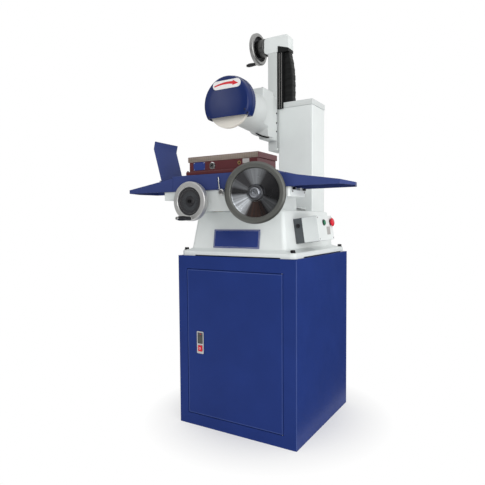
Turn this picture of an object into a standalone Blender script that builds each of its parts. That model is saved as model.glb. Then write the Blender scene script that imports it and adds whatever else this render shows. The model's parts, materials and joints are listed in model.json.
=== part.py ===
"""Manual surface grinder on a sheet-metal cabinet.

Metres, +Z up.  The operator stands at -Y, the table travels along X, the saddle along Y and
the wheelhead along Z.  The origin is the middle of the cabinet's footprint, on the floor.
"""
import math

import bmesh
import bpy
from mathutils import Matrix, Vector

# ---- driving dimensions -------------------------------------------------------------------
GAP = 0.0003                        # left between pieces that touch
SHEET = 0.003                       # cabinet sheet

CABINET_W, CABINET_D, CABINET_H = 0.523, 0.5264, 0.680
DOOR_X = (-0.217, 0.208)            # left and right edge of the door
DOOR_Z = (0.047, 0.627)
DOOR_SEAM = 0.002
DOOR_DEPTH = 0.010
FRAME_DEPTH = 0.012
PIN_INSET = 0.004                   # hinge axis from the door's edge and from its front
PIN_RADIUS = 0.0022

BASE_TOP = 0.853
BASE_FOOT_TOP = 0.701
BASE_SLOPE = math.radians(8.1)      # lean of the base's front and sides
BOLT_X, BOLT_Y = 0.236, 0.238

WAY_TOP = 0.868                     # top of the two cross ways on the base
SADDLE_TOP = 0.9277
TABLE_FRONT, TABLE_BACK = -0.345, -0.170
TABLE_HALF = 0.2155
TABLE_TOP = 0.9857
WING_CORNER, WING_TIP = 0.445, 0.468
CHUCK_TOP = 1.053

CROSS_AXIS = Vector((-0.113, -0.380, 0.888))      # front plane of the cross-feed handwheel
CROSS_WHEEL_R = 0.0715
TRAVERSE_AXIS = Vector((0.182, -0.412, 0.907))    # front plane of the traverse handwheel
TRAVERSE_WHEEL_R = 0.102
TRAVERSE_TURN = math.radians(20.0)                # its shaft is turned towards the operator's right
ELEVATE_AXIS = Vector((-0.090, 0.080, 1.562))     # outer plane of the elevating handwheel
ELEVATE_WHEEL_R = 0.0665

COLUMN_X = (0.0265, 0.182)
COLUMN_Y = (0.062, 0.196)
COLUMN_SEAM, COLUMN_TOP = 1.290, 1.314
SLIDE_X = (-0.018, 0.0255)
SLIDE_Y = (0.052, 0.140)
SLIDE_Z = (1.115, 1.524)
SCREW_X, SCREW_Y, SCREW_R = 0.062, 0.080, 0.008

SPINDLE_Z = 1.245
WHEEL_Y = (-0.2830, -0.2710)
WHEEL_R = 0.0905
SHAFT_R = 0.012
BORE_R = 0.0123                     # bores that turn on or are carried by the spindle
GUARD_CENTRE = (0.003, 1.2405)      # x, z
GUARD_R = 0.0995
GUARD_CHORD = 1.190                 # height of the flat opening under the guard

CONTROL_TILT = -BASE_SLOPE
CONTROL_AT = Vector((0.2014, -0.075, 0.775))
CONTROL_HALF_Y, CONTROL_HALF_Z = 0.075, 0.0465

# ---- colours ------------------------------------------------------------------------------
BLUE = ("blue_enamel", (0.045, 0.065, 0.24), 0.40, 0.0)
WHITE = ("white_enamel", (0.80, 0.81, 0.79), 0.38, 0.0)
STEEL = ("bright_steel", (0.55, 0.55, 0.54), 0.30, 1.0)
GREY_IRON = ("machined_iron", (0.24, 0.25, 0.24), 0.45, 1.0)
BLACK = ("black_plastic", (0.02, 0.02, 0.022), 0.45, 0.0)
RUBBER = ("black_rubber", (0.025, 0.027, 0.026), 0.75, 0.0)
MAROON = ("maroon_enamel", (0.16, 0.015, 0.02), 0.35, 0.0)
BRONZE = ("bronze", (0.50, 0.33, 0.15), 0.35, 1.0)
STONE = ("abrasive", (0.82, 0.79, 0.72), 0.85, 0.0)
COPPER = ("motor_winding", (0.45, 0.20, 0.08), 0.40, 1.0)
GREEN = ("green_button", (0.01, 0.30, 0.10), 0.30, 0.0)
RED = ("red_button", (0.60, 0.01, 0.03), 0.30, 0.0)


def clear_scene():
    for item in list(bpy.data.objects):
        bpy.data.objects.remove(item, do_unlink=True)


def finish_of(kind):
    """The material of one finish, made on first use."""
    name, colour, roughness, metallic = kind
    material = bpy.data.materials.get(name)
    if material is None:
        material = bpy.data.materials.new(name)
        material.use_nodes = True
        shader = material.node_tree.nodes["Principled BSDF"]
        shader.inputs["Base Color"].default_value = (*colour, 1.0)
        shader.inputs["Roughness"].default_value = roughness
        shader.inputs["Metallic"].default_value = metallic
        material.diffuse_color = (*colour, 1.0)
    return material


def add_piece(name, bm, finish, origin=(0, 0, 0), smooth=None):
    """An object from a bmesh given in world coordinates, with its origin moved to origin."""
    bmesh.ops.recalc_face_normals(bm, faces=bm.faces)
    bmesh.ops.translate(bm, verts=bm.verts, vec=-Vector(origin))
    mesh = bpy.data.meshes.new(name)
    bm.to_mesh(mesh)
    bm.free()
    piece = bpy.data.objects.new(name, mesh)
    piece.location = origin
    bpy.context.scene.collection.objects.link(piece)
    if finish:
        mesh.materials.append(finish_of(finish))
    if smooth is not None:
        mesh.shade_smooth()
        mesh.set_sharp_from_angle(angle=math.radians(smooth))
    return piece


def slab(low, high):
    """A rectangular block between two corners."""
    bm = bmesh.new()
    bmesh.ops.create_cube(bm, size=1.0)
    size = Vector(high) - Vector(low)
    bmesh.ops.scale(bm, verts=bm.verts, vec=size)
    bmesh.ops.translate(bm, verts=bm.verts, vec=(Vector(high) + Vector(low)) / 2)
    return bm


def soften(bm, width, steps=2, axis=None):
    """Round the block's edges, or only those that run along one axis."""
    edges = bm.edges[:]
    if axis is not None:
        edges = [e for e in edges if abs((e.verts[1].co - e.verts[0].co).normalized()[axis]) > 0.99]
    bmesh.ops.bevel(bm, geom=edges, offset=width, segments=steps, profile=0.5, affect="EDGES")
    return bm


def turned(profile, steps=32, bore=0.0):
    """A body turned about Z from (radius, height) points, listed from one end to the other.

    With a bore the body is a ring; without one its two ends are closed by discs.
    """
    bm = bmesh.new()
    rings = []
    for radius, height in profile:
        ring = []
        for i in range(steps):
            angle = 2 * math.pi * i / steps
            ring.append(bm.verts.new((radius * math.cos(angle), radius * math.sin(angle), height)))
        rings.append(ring)
    if bore:
        for height in (profile[-1][1], profile[0][1]):
            ring = []
            for i in range(steps):
                angle = 2 * math.pi * i / steps
                ring.append(bm.verts.new((bore * math.cos(angle), bore * math.sin(angle), height)))
            rings.append(ring)
        rings.append(rings[0])
    else:
        bm.faces.new(rings[0])
        bm.faces.new(rings[-1])
    for lower, upper in zip(rings, rings[1:]):
        for i in range(steps):
            j = (i + 1) % steps
            bm.faces.new((lower[i], lower[j], upper[j], upper[i]))
    return bm


def rod(radius, low, high, steps=24, bore=0.0):
    return turned([(radius, low), (radius, high)], steps, bore)


def facing(bm, towards, at):
    """Turn a Z-turned body so that its +Z points towards a direction, and move it."""
    turn = Vector((0, 0, 1)).rotation_difference(Vector(towards)).to_matrix().to_4x4()
    bmesh.ops.transform(bm, verts=bm.verts, matrix=Matrix.Translation(Vector(at)) @ turn)
    return bm


def prism(outline, axis, low, high):
    """Extrude a 2D outline along an axis; the outline's two values are the other two axes."""
    bm = bmesh.new()
    ends = []
    for level in (low, high):
        ring = []
        for u, v in outline:
            place = [u, v]
            place.insert(axis, level)
            ring.append(bm.verts.new(place))
        ends.append(ring)
    bm.faces.new(ends[0])
    bm.faces.new(list(reversed(ends[1])))
    count = len(outline)
    for i in range(count):
        j = (i + 1) % count
        bm.faces.new((ends[0][i], ends[0][j], ends[1][j], ends[1][i]))
    return bm


def round_rect(x0, x1, y0, y1, radius, steps=4):
    """Corner points of a rounded rectangle."""
    points = []
    corners = ((x1, y1, 0), (x0, y1, 90), (x0, y0, 180), (x1, y0, 270))
    for x, y, start in corners:
        cx = x - radius if x == x1 else x + radius
        cy = y - radius if y == y1 else y + radius
        for i in range(steps + 1):
            angle = math.radians(start + 90 * i / steps)
            points.append((cx + radius * math.cos(angle), cy + radius * math.sin(angle)))
    return points


def lofted(sections):
    """A body through stacked outlines [(z, points)], all with the same number of points."""
    bm = bmesh.new()
    rings = [[bm.verts.new((x, y, z)) for x, y in points] for z, points in sections]
    bm.faces.new(rings[0])
    bm.faces.new(rings[-1])
    for lower, upper in zip(rings, rings[1:]):
        for i in range(len(lower)):
            j = (i + 1) % len(lower)
            bm.faces.new((lower[i], lower[j], upper[j], upper[i]))
    return bm


def shape(piece, bm, operation="DIFFERENCE"):
    """Cut a body out of a piece, or weld one onto it, with a Boolean."""
    helper = add_piece("tool_%s_%d" % (piece.name, len(piece.modifiers)), bm, None)
    helper.hide_render = True
    helper.display_type = "WIRE"
    helper.hide_set(True)
    step = piece.modifiers.new(operation.title(), "BOOLEAN")
    step.operation = operation
    step.solver = "EXACT"
    step.object = helper
    helper.matrix_world = Matrix.Identity(4)
    return piece


def weld(piece, bm):
    return shape(piece, bm, "UNION")


def carrier(name, at, parent=None, turn=None):
    """An empty on a joint's axis, which its pieces hang on."""
    empty = bpy.data.objects.new(name, None)
    bpy.context.scene.collection.objects.link(empty)
    empty.location = at
    if turn is not None:
        empty.rotation_euler = turn
    bpy.context.view_layer.update()
    if parent:
        hang(empty, parent)
    return empty


def hang(piece, parent):
    bpy.context.view_layer.update()
    world = piece.matrix_world.copy()
    piece.parent = parent
    piece.matrix_parent_inverse = parent.matrix_world.inverted()
    piece.matrix_world = world
    return piece


# ---- cabinet ------------------------------------------------------------------------------
FRONT = -CABINET_D / 2
OPENING_X = (DOOR_X[0] - DOOR_SEAM, DOOR_X[1] + DOOR_SEAM)
OPENING_Z = (DOOR_Z[0] - DOOR_SEAM, DOOR_Z[1] + DOOR_SEAM)
HINGE_X, HINGE_Y = DOOR_X[1] - PIN_INSET, FRONT + PIN_INSET


def make_cabinet():
    half_w, half_d = CABINET_W / 2, CABINET_D / 2
    shell = add_piece("cabinet_shell",
                      soften(slab((-half_w, -half_d, 0), (half_w, half_d, CABINET_H)), 0.003, 2, 2), BLUE)
    shape(shell, slab((SHEET - half_w, SHEET - half_d, SHEET),
                      (half_w - SHEET, half_d - SHEET, CABINET_H - SHEET)))
    weld(shell, slab((OPENING_X[0] - SHEET, FRONT + 0.001, OPENING_Z[0] - SHEET),
                     (OPENING_X[1] + SHEET, FRONT + FRAME_DEPTH, OPENING_Z[1] + SHEET)))
    shape(shell, slab((OPENING_X[0], FRONT - 0.01, OPENING_Z[0]),
                      (OPENING_X[1], FRONT + 0.02, OPENING_Z[1])))
    for z in (OPENING_Z[0], OPENING_Z[1]):
        shape(shell, facing(rod(PIN_RADIUS + GAP, -0.004, 0.004, 16), (0, 0, 1), (HINGE_X, HINGE_Y, z)))
    for x, y in bolt_places():
        shape(shell, facing(rod(0.0055, -0.02, 0.02, 16), (0, 0, 1), (x, y, CABINET_H)))
    return shell


def bolt_places():
    return [(sx * BOLT_X, sy * BOLT_Y) for sy in (-1, 1) for sx in (-1, 1)]


def make_door():
    hinge = carrier("door_axis", (HINGE_X, HINGE_Y, DOOR_Z[0]))
    door = add_piece("cabinet_door", slab((DOOR_X[0], FRONT, DOOR_Z[0]),
                                          (DOOR_X[1], FRONT + DOOR_DEPTH, DOOR_Z[1])),
                     BLUE, hinge.location)
    shape(door, slab((DOOR_X[0] + 0.010, FRONT + 0.0025, DOOR_Z[0] + 0.002),
                     (DOOR_X[1] - 0.010, FRONT + 0.03, DOOR_Z[1] - 0.002)))
    for z, up in ((DOOR_Z[0], -1), (DOOR_Z[1], 1)):
        weld(door, facing(rod(PIN_RADIUS, -0.016, 0.0045, 16), (0, 0, up), (HINGE_X, HINGE_Y, z)))
    plate = add_piece("latch_plate", soften(slab((-0.1705, FRONT - 0.0033, 0.294),
                                                 (-0.1375, FRONT - GAP, 0.383)), 0.002, 2, 1), STEEL)
    shape(plate, slab((-0.1665, FRONT - 0.01, 0.333), (-0.1415, FRONT - 0.0012, 0.378)))
    at = Vector((-0.1540, FRONT, 0.3155))
    shape(plate, slab(at + Vector((-0.0098, -0.01, -0.0123)), at + Vector((0.0098, 0.01, 0.0123))))
    shape(door, facing(rod(0.0060, -0.01, 0.01, 24), (0, -1, 0), at))
    button = add_piece("latch_button", slab(at + Vector((-0.0095, -0.0065, -0.0120)),
                                            at + Vector((0.0095, -0.0025, 0.0120))), RED, at, 40)
    weld(button, facing(rod(0.0055, -0.0085, 0.0040, 16), (0, -1, 0), at))
    cell = carrier("latch_axis", at, hinge)
    hang(button, cell)
    for piece in (door, plate):
        hang(piece, hinge)


# ---- base ---------------------------------------------------------------------------------
def base_side(z):
    """Half width of the base's leaning sides at a height."""
    return 0.190 + (BASE_TOP - z) * math.tan(BASE_SLOPE)


def base_front(z):
    return -0.222 - (BASE_TOP - z) * math.tan(BASE_SLOPE)


def make_base():
    foot = CABINET_H + GAP
    sections = [(foot, round_rect(-0.252, 0.252, -0.256, 0.252, 0.022)),
                (BASE_FOOT_TOP - 0.003, round_rect(-0.252, 0.252, -0.256, 0.252, 0.022)),
                (BASE_FOOT_TOP, round_rect(-0.249, 0.249, -0.253, 0.249, 0.020)),
                (0.7055, round_rect(-0.222, 0.222, -0.2465, 0.232, 0.018)),
                (0.7110, round_rect(-base_side(0.711), base_side(0.711), base_front(0.711), 0.222, 0.016)),
                (BASE_TOP - 0.006, round_rect(-0.1905, 0.1905, -0.2225, 0.215, 0.014)),
                (BASE_TOP, round_rect(-0.186, 0.186, -0.218, 0.211, 0.012))]
    base = add_piece("base_casting", lofted(sections), WHITE, smooth=35)
    shape(base, lofted([(foot - 0.01, round_rect(-0.190, 0.190, -0.215, 0.205, 0.02)),
                        (BASE_TOP - 0.016, round_rect(-0.165, 0.165, -0.198, 0.19, 0.02))]))
    shape(base, slab((-0.182, -0.30, foot - 0.01), (0.195, 0.30, foot + 0.0038)))
    shape(base, slab((-0.30, -0.180, foot - 0.01), (0.30, 0.210, foot + 0.0038)))
    for x, y in bolt_places():
        shape(base, facing(rod(0.0055, -0.03, 0.03, 16), (0, 0, 1), (x, y, 0.69)))
    for x in (-0.1425, 0.1425):
        weld(base, slab((x - 0.0175, -0.2170, BASE_TOP - 0.005), (x + 0.0175, 0.045, WAY_TOP)))
    nut = add_piece("cross_feed_nut", slab((CROSS_AXIS.x - 0.0115, -0.205, BASE_TOP + GAP),
                                           (CROSS_AXIS.x + 0.0115, -0.175, 0.902)), BRONZE)
    shape(nut, facing(rod(SCREW_R + GAP, -0.03, 0.03), (0, -1, 0), (CROSS_AXIS.x, -0.19, CROSS_AXIS.z)))
    plate = slab((-0.103, -0.0020, -0.0365), (0.103, 0, 0.0365))
    middle = 0.748
    lean = Matrix.Rotation(BASE_SLOPE, 4, "X")
    place = Matrix.Translation((0, base_front(middle) - 2 * GAP, middle))
    bmesh.ops.transform(plate, verts=plate.verts, matrix=place @ lean.inverted())
    add_piece("nameplate", plate, BLUE)


# ---- column -------------------------------------------------------------------------------
def make_column():
    (x0, x1), (y0, y1) = COLUMN_X, COLUMN_Y
    outer = soften(slab((x0, y0, BASE_TOP + GAP), (x1, y1, COLUMN_SEAM - GAP)), 0.005, 2, 2)
    column = add_piece("column", outer, WHITE, smooth=35)
    shape(column, slab((x0 + 0.023, y0 + 0.008, BASE_TOP + 0.012), (x1 - 0.008, y1 - 0.008, 1.4)))
    shape(column, slab((x0 - 0.01, 0.099, 1.000), (x0 + 0.016, 0.129, 1.4)))
    cap = soften(slab((x0 - 0.002, y0 - 0.002, COLUMN_SEAM), (x1 + 0.002, y1 + 0.002, COLUMN_TOP)), 0.004, 2)
    cap = add_piece("column_cap", cap, WHITE, smooth=35)
    shape(cap, slab((x0 - 0.01, y0 - 0.01, 1.2), (x0 + 0.0005, 0.3, 1.4)))
    shape(cap, slab((x0 - 0.01, 0.099, 1.2), (x0 + 0.016, 0.129, 1.4)))
    shape(cap, facing(rod(0.010, -0.1, 0.1), (0, 0, 1), (SCREW_X, SCREW_Y, COLUMN_TOP)))
    nut = add_piece("elevating_nut", slab((x0 + 0.023 + GAP, y0 + 0.008 + GAP, 1.220),
                                          (0.084, 0.104, 1.252)), BRONZE)
    shape(nut, facing(rod(SCREW_R + GAP, -0.1, 0.1), (0, 0, 1), (SCREW_X, SCREW_Y, 1.236)))


# ---- control box --------------------------------------------------------------------------
def make_controls():
    frame = carrier("control_frame", CONTROL_AT, turn=(0, CONTROL_TILT, 0))
    turn = Matrix.Translation(CONTROL_AT) @ Matrix.Rotation(CONTROL_TILT, 4, "Y")

    def placed(bm):
        bmesh.ops.transform(bm, verts=bm.verts, matrix=turn)
        return bm

    hy, hz = CONTROL_HALF_Y, CONTROL_HALF_Z
    back = add_piece("control_box_back", placed(slab((GAP, -hy, -hz), (0.034, hy, hz))), BLACK)
    shape(back, placed(slab((0.006, 0.004 - hy, 0.004 - hz), (0.05, hy - 0.004, hz - 0.004))))
    cover = add_piece("control_box_cover",
                      placed(soften(slab((0.034 + GAP, -hy, -hz), (0.094, hy, hz)), 0.004, 2, 0)), WHITE)
    shape(cover, placed(slab((0.02, 0.003 - hy, 0.003 - hz), (0.091, hy - 0.003, hz - 0.003))))
    pieces = [back, cover]
    for name, y, cap, high, colour in (("start_button", -0.015, 0.0090, 0.006, GREEN),
                                       ("stop_button", 0.055, 0.0160, 0.013, RED)):
        place = Vector((0.094, y, 0.020))
        shape(cover, placed(facing(rod(0.0073, -0.01, 0.01), (1, 0, 0), place)))
        stem = [(0.0070, -0.016), (0.0070, 0.0035), (cap, 0.0035), (cap, high - 0.0015), (cap * 0.8, high)]
        world = turn @ place
        button = add_piece(name, placed(facing(turned(stem), (1, 0, 0), place)), colour, world, 35)
        axis = carrier(name + "_axis", world, frame)
        hang(button, axis)
    for piece in pieces:
        hang(piece, frame)


# ---- saddle -------------------------------------------------------------------------------
def traverse_out():
    """Direction in which the traverse handwheel faces."""
    return Vector((math.sin(TRAVERSE_TURN), -math.cos(TRAVERSE_TURN), 0))


def make_saddle():
    frame = carrier("saddle_frame", (0, -0.2, WAY_TOP))
    saddle = add_piece("saddle", soften(slab((-0.165, -0.3348, WAY_TOP + GAP),
                                             (0.165, -0.055, 0.906)), 0.004, 2, 2), WHITE)
    weld(saddle, soften(slab((-0.270, -0.3350, 0.896), (0.270, -0.205, SADDLE_TOP)), 0.010, 3, 2))
    weld(saddle, slab((-0.165, -0.3346, 0.8512), (0.165, -0.3235, 0.880)))
    for side in (-1, 1):
        inner, outer = sorted((side * 0.1606, side * 0.165))
        weld(saddle, slab((inner, -0.3340, 0.8540), (outer, -0.055, 0.880)))
    shape(saddle, slab((CROSS_AXIS.x - 0.0165, -0.300, 0.80), (CROSS_AXIS.x + 0.0165, 0.1, 0.9075)))
    shape(saddle, facing(rod(SCREW_R + GAP, -0.1, 0.1), (0, -1, 0),
                         (CROSS_AXIS.x, -0.32, CROSS_AXIS.z)))
    shape(saddle, slab((-0.30, -0.282, 0.9185), (0.30, -0.248, 0.95)))
    out = traverse_out()
    shape(saddle, facing(rod(0.0093, -0.155, 0.1), out, TRAVERSE_AXIS))
    shape(saddle, facing(rod(0.0140, -0.190, -0.128), out, TRAVERSE_AXIS))
    boss = add_piece("cross_feed_bearing", facing(rod(0.026, 0.0283, 0.0443, 28, SCREW_R + GAP), (0, 1, 0),
                                                  CROSS_AXIS), WHITE, smooth=35)
    housing = add_piece("traverse_bearing", facing(rod(0.0195, -0.100, -0.0345, 32), out, TRAVERSE_AXIS),
                        WHITE, smooth=35)
    shape(housing, facing(rod(0.0093, -0.2, 0.1), out, TRAVERSE_AXIS))
    shape(housing, slab((0.0, -0.3353, 0.8), (0.3, -0.1, 1.0)))
    lever_at = Vector((0.013, -0.3353, 0.9180))
    lever = add_piece("table_lock_lever",
                      facing(turned([(0.006, 0.0), (0.006, 0.008), (0.011, 0.010), (0.011, 0.021),
                                     (0.008, 0.0245)], 24), (0, -1, 0), lever_at), STEEL, lever_at, 40)
    arm = facing(rod(0.0024, -0.006, 0.050, 12), (-0.10, 0, 1), lever_at + Vector((-0.0095, -0.0155, 0.004)))
    weld(lever, arm)
    for item in (lever, carrier("lever_axis", lever_at)):
        hang(item, frame)
    for piece in (saddle, boss, housing):
        hang(piece, frame)
    return frame


def add_grip(stem, wheel, at, out, length, radius, parent):
    """A handwheel's handle spindle, welded to the wheel, and the grip that turns on it."""
    weld(wheel, facing(turned([(0.0038, -0.004), (0.0038, length), (0.0060, length),
                               (0.0060, length + 0.003)], 16), out, at))
    profile = [(radius * 0.80, 0.003), (radius * 0.95, 0.008), (radius, length * 0.55),
               (radius * 0.92, length - 0.006), (radius * 0.80, length - 0.0005)]
    grip = add_piece(stem + "_grip", facing(turned(profile, 24, 0.0041), out, at), BLACK, at, 45)
    hang(grip, carrier(stem + "_axis", at, parent))


def make_cross_feed(saddle_frame):
    out = (0, -1, 0)
    axis = carrier("cross_handwheel_axis", CROSS_AXIS, saddle_frame)
    radius = CROSS_WHEEL_R
    rim = [(0.0200, -0.0278), (0.0200, -0.0200), (0.0480, -0.0200), (0.0500, -0.0270),
           (radius - 0.006, -0.0270), (radius - 0.0015, -0.0245), (radius, -0.0190), (radius, -0.0050),
           (radius - 0.002, -0.0015), (radius - 0.006, 0.0), (0.0535, 0.0), (0.0515, -0.002),
           (0.0515, -0.016), (0.0200, -0.016)]
    wheel = add_piece("cross_handwheel", facing(turned(rim, 36, SCREW_R + GAP), out, CROSS_AXIS), STEEL,
                      CROSS_AXIS, 35)
    face = [(0.0510, -0.0155), (0.0510, -0.0040), (0.0480, -0.0030), (0.0460, -0.0060),
            (0.0180, -0.0090), (0.0150, -0.0050)]
    dial = add_piece("cross_dial_face", facing(turned(face, 36, 0.0083), out, CROSS_AXIS), BLACK,
                     CROSS_AXIS, 35)
    screw = add_piece("cross_feed_screw",
                      facing(rod(SCREW_R, -0.350, -0.0045), out, CROSS_AXIS), STEEL, CROSS_AXIS, 35)
    for piece in (wheel, dial, screw):
        hang(piece, axis)
    angle = math.radians(-84)
    at = CROSS_AXIS + Vector((math.cos(angle), 0, math.sin(angle))) * 0.0625
    add_grip("cross_handle", wheel, at, out, 0.074, 0.0085, axis)


def make_traverse(saddle_frame):
    out = traverse_out()
    axis = carrier("traverse_handwheel_axis", TRAVERSE_AXIS, saddle_frame)
    radius = TRAVERSE_WHEEL_R
    outer = [(0.0270, -0.034), (0.0270, -0.027), (0.0800, -0.0225), (0.0960, -0.023),
             (radius, -0.018), (radius, -0.006), (radius - 0.006, 0.0),
             (0.0820, -0.002), (0.0800, -0.010), (0.0270, -0.0215), (0.0265, -0.0075)]
    wheel = add_piece("traverse_handwheel", facing(turned(outer, 44, 0.0093), out, TRAVERSE_AXIS),
                      GREY_IRON, TRAVERSE_AXIS, 35)
    nut = add_piece("traverse_hub_nut",
                    facing(turned([(0.0150, -0.0072), (0.0165, -0.006), (0.0165, 0.003), (0.0130, 0.006)], 20),
                           out, TRAVERSE_AXIS), STEEL, TRAVERSE_AXIS, 35)
    shaft = add_piece("traverse_shaft",
                      facing(rod(0.0090, -0.1545, -0.0076), out, TRAVERSE_AXIS), STEEL, TRAVERSE_AXIS, 35)
    pinion_bm = turned([(0.0118, -0.1655), (0.0118, -0.1550)], 24)
    pinion = add_piece("rack_pinion", facing(pinion_bm, out, TRAVERSE_AXIS), STEEL, TRAVERSE_AXIS, 35)
    for piece in (wheel, nut, shaft, pinion):
        hang(piece, axis)


# ---- table --------------------------------------------------------------------------------
def wing_body(side, inset=0.0, drop=0.0):
    """One table wing: a tray that slopes down to a blunt arrow end."""
    root, corner, tip = TABLE_HALF + GAP, WING_CORNER - inset, WING_TIP - inset
    if inset:
        root -= 0.01
    front, back, middle = TABLE_FRONT + inset, TABLE_BACK - inset, -0.258
    plan = [(root, front, 0.978, 0.9285), (corner, front + 0.004, 0.943, 0.9285),
            (tip, middle, 0.9380, 0.9285), (corner, back - 0.004, 0.943, 0.9285),
            (root, back, 0.978, 0.9285)]
    bm = bmesh.new()
    top = [bm.verts.new((side * x, y, high - inset)) for x, y, high, low in plan]
    bottom = [bm.verts.new((side * x, y, low - drop)) for x, y, high, low in plan]
    count = len(plan)
    bm.faces.new(top)
    bm.faces.new(list(reversed(bottom)))
    for i in range(count):
        j = (i + 1) % count
        bm.faces.new((top[i], top[j], bottom[j], bottom[i]))
    bmesh.ops.triangulate(bm, faces=[f for f in bm.faces if len(f.verts) > 4])
    return bm


def make_table(saddle_frame):
    frame = carrier("table_frame", (0, -0.2575, SADDLE_TOP), saddle_frame)
    table = add_piece("table", soften(slab((-TABLE_HALF, TABLE_FRONT, SADDLE_TOP + GAP),
                                           (TABLE_HALF, TABLE_BACK, TABLE_TOP)), 0.002, 1, 0), BLUE)
    shape(table, slab((-0.3, -0.2640, 0.9760), (0.3, -0.2510, 1.0)))
    shape(table, slab((-0.3, -0.2690, 0.9680), (0.3, -0.2460, 0.9770)))
    pieces = [table]
    for name, side in (("left_wing", -1), ("right_wing", 1)):
        wing = add_piece(name, wing_body(side), BLUE)
        shape(wing, wing_body(side, 0.0025, 0.02))
        pieces.append(wing)
    pieces.append(add_piece("table_rack", slab((-0.200, -0.2797, 0.9193),
                                               (0.200, -0.2503, SADDLE_TOP)), GREY_IRON))
    thick = 0.0025
    line = [(-0.2740, 0.9715), (-0.3100, 1.098), (-0.3030, 1.126)]
    outline = line + [(x - thick, z) for x, z in reversed(line)]
    outline.insert(len(line) + 2, (line[0][0] - thick, 0.9735))
    outline[-1] = (line[0][0] - 0.012, 0.9735)
    outline.append((line[0][0] - 0.012, 0.9705))
    pieces.append(add_piece("splash_plate", prism(outline, 1, -0.340, -0.205), BLUE))
    flange = add_piece("chuck_base", soften(slab((-0.157, -0.338, TABLE_TOP + GAP), (0.157, -0.185, 0.999)),
                                            0.0015, 1), MAROON)
    body = add_piece("chuck_body", slab((-0.146, -0.329, 0.999 + GAP), (0.146, -0.194, 1.034 - GAP)), MAROON)
    top = add_piece("chuck_top_plate", slab((-0.150, -0.331, 1.034), (0.150, -0.192, CHUCK_TOP)), STEEL)
    key_at = Vector((-0.041, -0.329, 1.0165))
    shape(body, facing(rod(0.0103, -0.030, 0.01), (0, -1, 0), key_at))
    key = add_piece("chuck_key_socket", facing(rod(0.0100, -0.0295, 0.004), (0, -1, 0), key_at), STEEL,
                    key_at, 35)
    shape(key, facing(rod(0.0055, -0.012, 0.02, 6), (0, -1, 0), key_at))
    hang(key, carrier("key_axis", key_at, frame))
    for piece in pieces + [flange, body, top]:
        hang(piece, frame)


# ---- wheelhead ----------------------------------------------------------------------------
def make_head():
    frame = carrier("head_frame", (SCREW_X, SCREW_Y, COLUMN_TOP))
    (sx0, sx1), (sy0, sy1), (sz0, sz1) = SLIDE_X, SLIDE_Y, SLIDE_Z
    slide = add_piece("head_slide", soften(slab((sx0, sy0, sz0), (sx1, sy1, sz1)), 0.002, 1, 2), WHITE)
    tongue = add_piece("slide_way", slab((sx1 + GAP, 0.1003, sz0), (0.0413, 0.1277, 1.520)), GREY_IRON)
    strip = add_piece("way_strip", slab((sx1 + GAP, 0.0530, 1.287), (0.0530, 0.0585, sz1 - GAP)), RUBBER)
    casting = add_piece("head_casting",
                        soften(slab((-0.052, -0.115, 1.198), (0.052, -0.030, 1.335)), 0.010, 3, 1), WHITE,
                        smooth=35)
    weld(casting, slab((sx0, -0.031, 1.152), (sx1, sy0 - GAP, 1.335)))
    weld(casting, facing(turned([(0.083, -0.062), (0.083, 0.036), (0.0755, 0.058), (0.0725, 0.100),
                                 (0.0690, 0.155), (0.0650, 0.200), (0.0630, 0.2632)], 40), (0, -1, 0),
                         (0, 0, SPINDLE_Z)))
    weld(casting, prism([(-0.020, 1.205), (-0.001, 1.1690), (0.020, 1.1575), (0.043, 1.1505), (0.052, 1.1505),
                         (0.052, 1.260), (-0.020, 1.260)], 1, -0.0750, -0.0295))
    for x0, x1 in ((-0.2, -0.052), (0.052, 0.2)):
        shape(casting, slab((x0, -0.1150, 1.0), (x1, 0.3, 1.5)))
    shape(casting, slab((-0.2, -0.029, 1.0), (sx0, 0.3, 1.5)))
    shape(casting, slab((sx1, -0.029, 1.0), (0.2, 0.3, 1.5)))
    shape(casting, slab((-0.2, sy0 - GAP, 1.0), (0.2, 0.4, 1.5)))
    shape(casting, facing(rod(0.045, 0.042, 0.30, 40), (0, -1, 0), (0, 0, SPINDLE_Z)))
    axis_at = (0, 0, SPINDLE_Z)

    def along_spindle(name, radius, near, far, finish, bore, steps=26):
        return add_piece(name, facing(rod(radius, near, far, steps, bore), (0, -1, 0), axis_at), finish,
                         smooth=35)

    fixed = [slide, tongue, strip, casting,
             along_spindle("front_bearing", 0.0445, 0.2385, 0.2540, STEEL, BORE_R),
             along_spindle("motor_stator", 0.0445, 0.0900, 0.2000, COPPER, 0.0325),
             along_spindle("rear_bearing", 0.0445, 0.0450, 0.0600, STEEL, BORE_R)]
    spindle = carrier("spindle_axis", axis_at, frame)
    turning = [along_spindle("spindle_shaft", SHAFT_R, 0.0425, 0.3005, STEEL, 0.0, 24),
               along_spindle("motor_rotor", 0.0320, 0.0950, 0.1950, GREY_IRON, BORE_R),
               along_spindle("inner_flange", 0.0300, 0.2680, -WHEEL_Y[1] - GAP, STEEL, BORE_R),
               along_spindle("grinding_wheel", WHEEL_R, -WHEEL_Y[1], -WHEEL_Y[0], STONE, BORE_R, 48),
               along_spindle("outer_flange", 0.0300, -WHEEL_Y[0] + GAP, 0.2940, STEEL, BORE_R),
               along_spindle("wheel_nut", 0.0165, 0.2943, 0.3003, STEEL, 0.0, 6)]
    shape(turning[-1], facing(rod(BORE_R, 0.28, 0.32), (0, -1, 0), axis_at))
    for piece in turning:
        hang(piece, spindle)
    fixed += make_guard()
    fixed += make_gear_housing()
    for piece in fixed:
        hang(piece, frame)
    return frame


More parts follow.
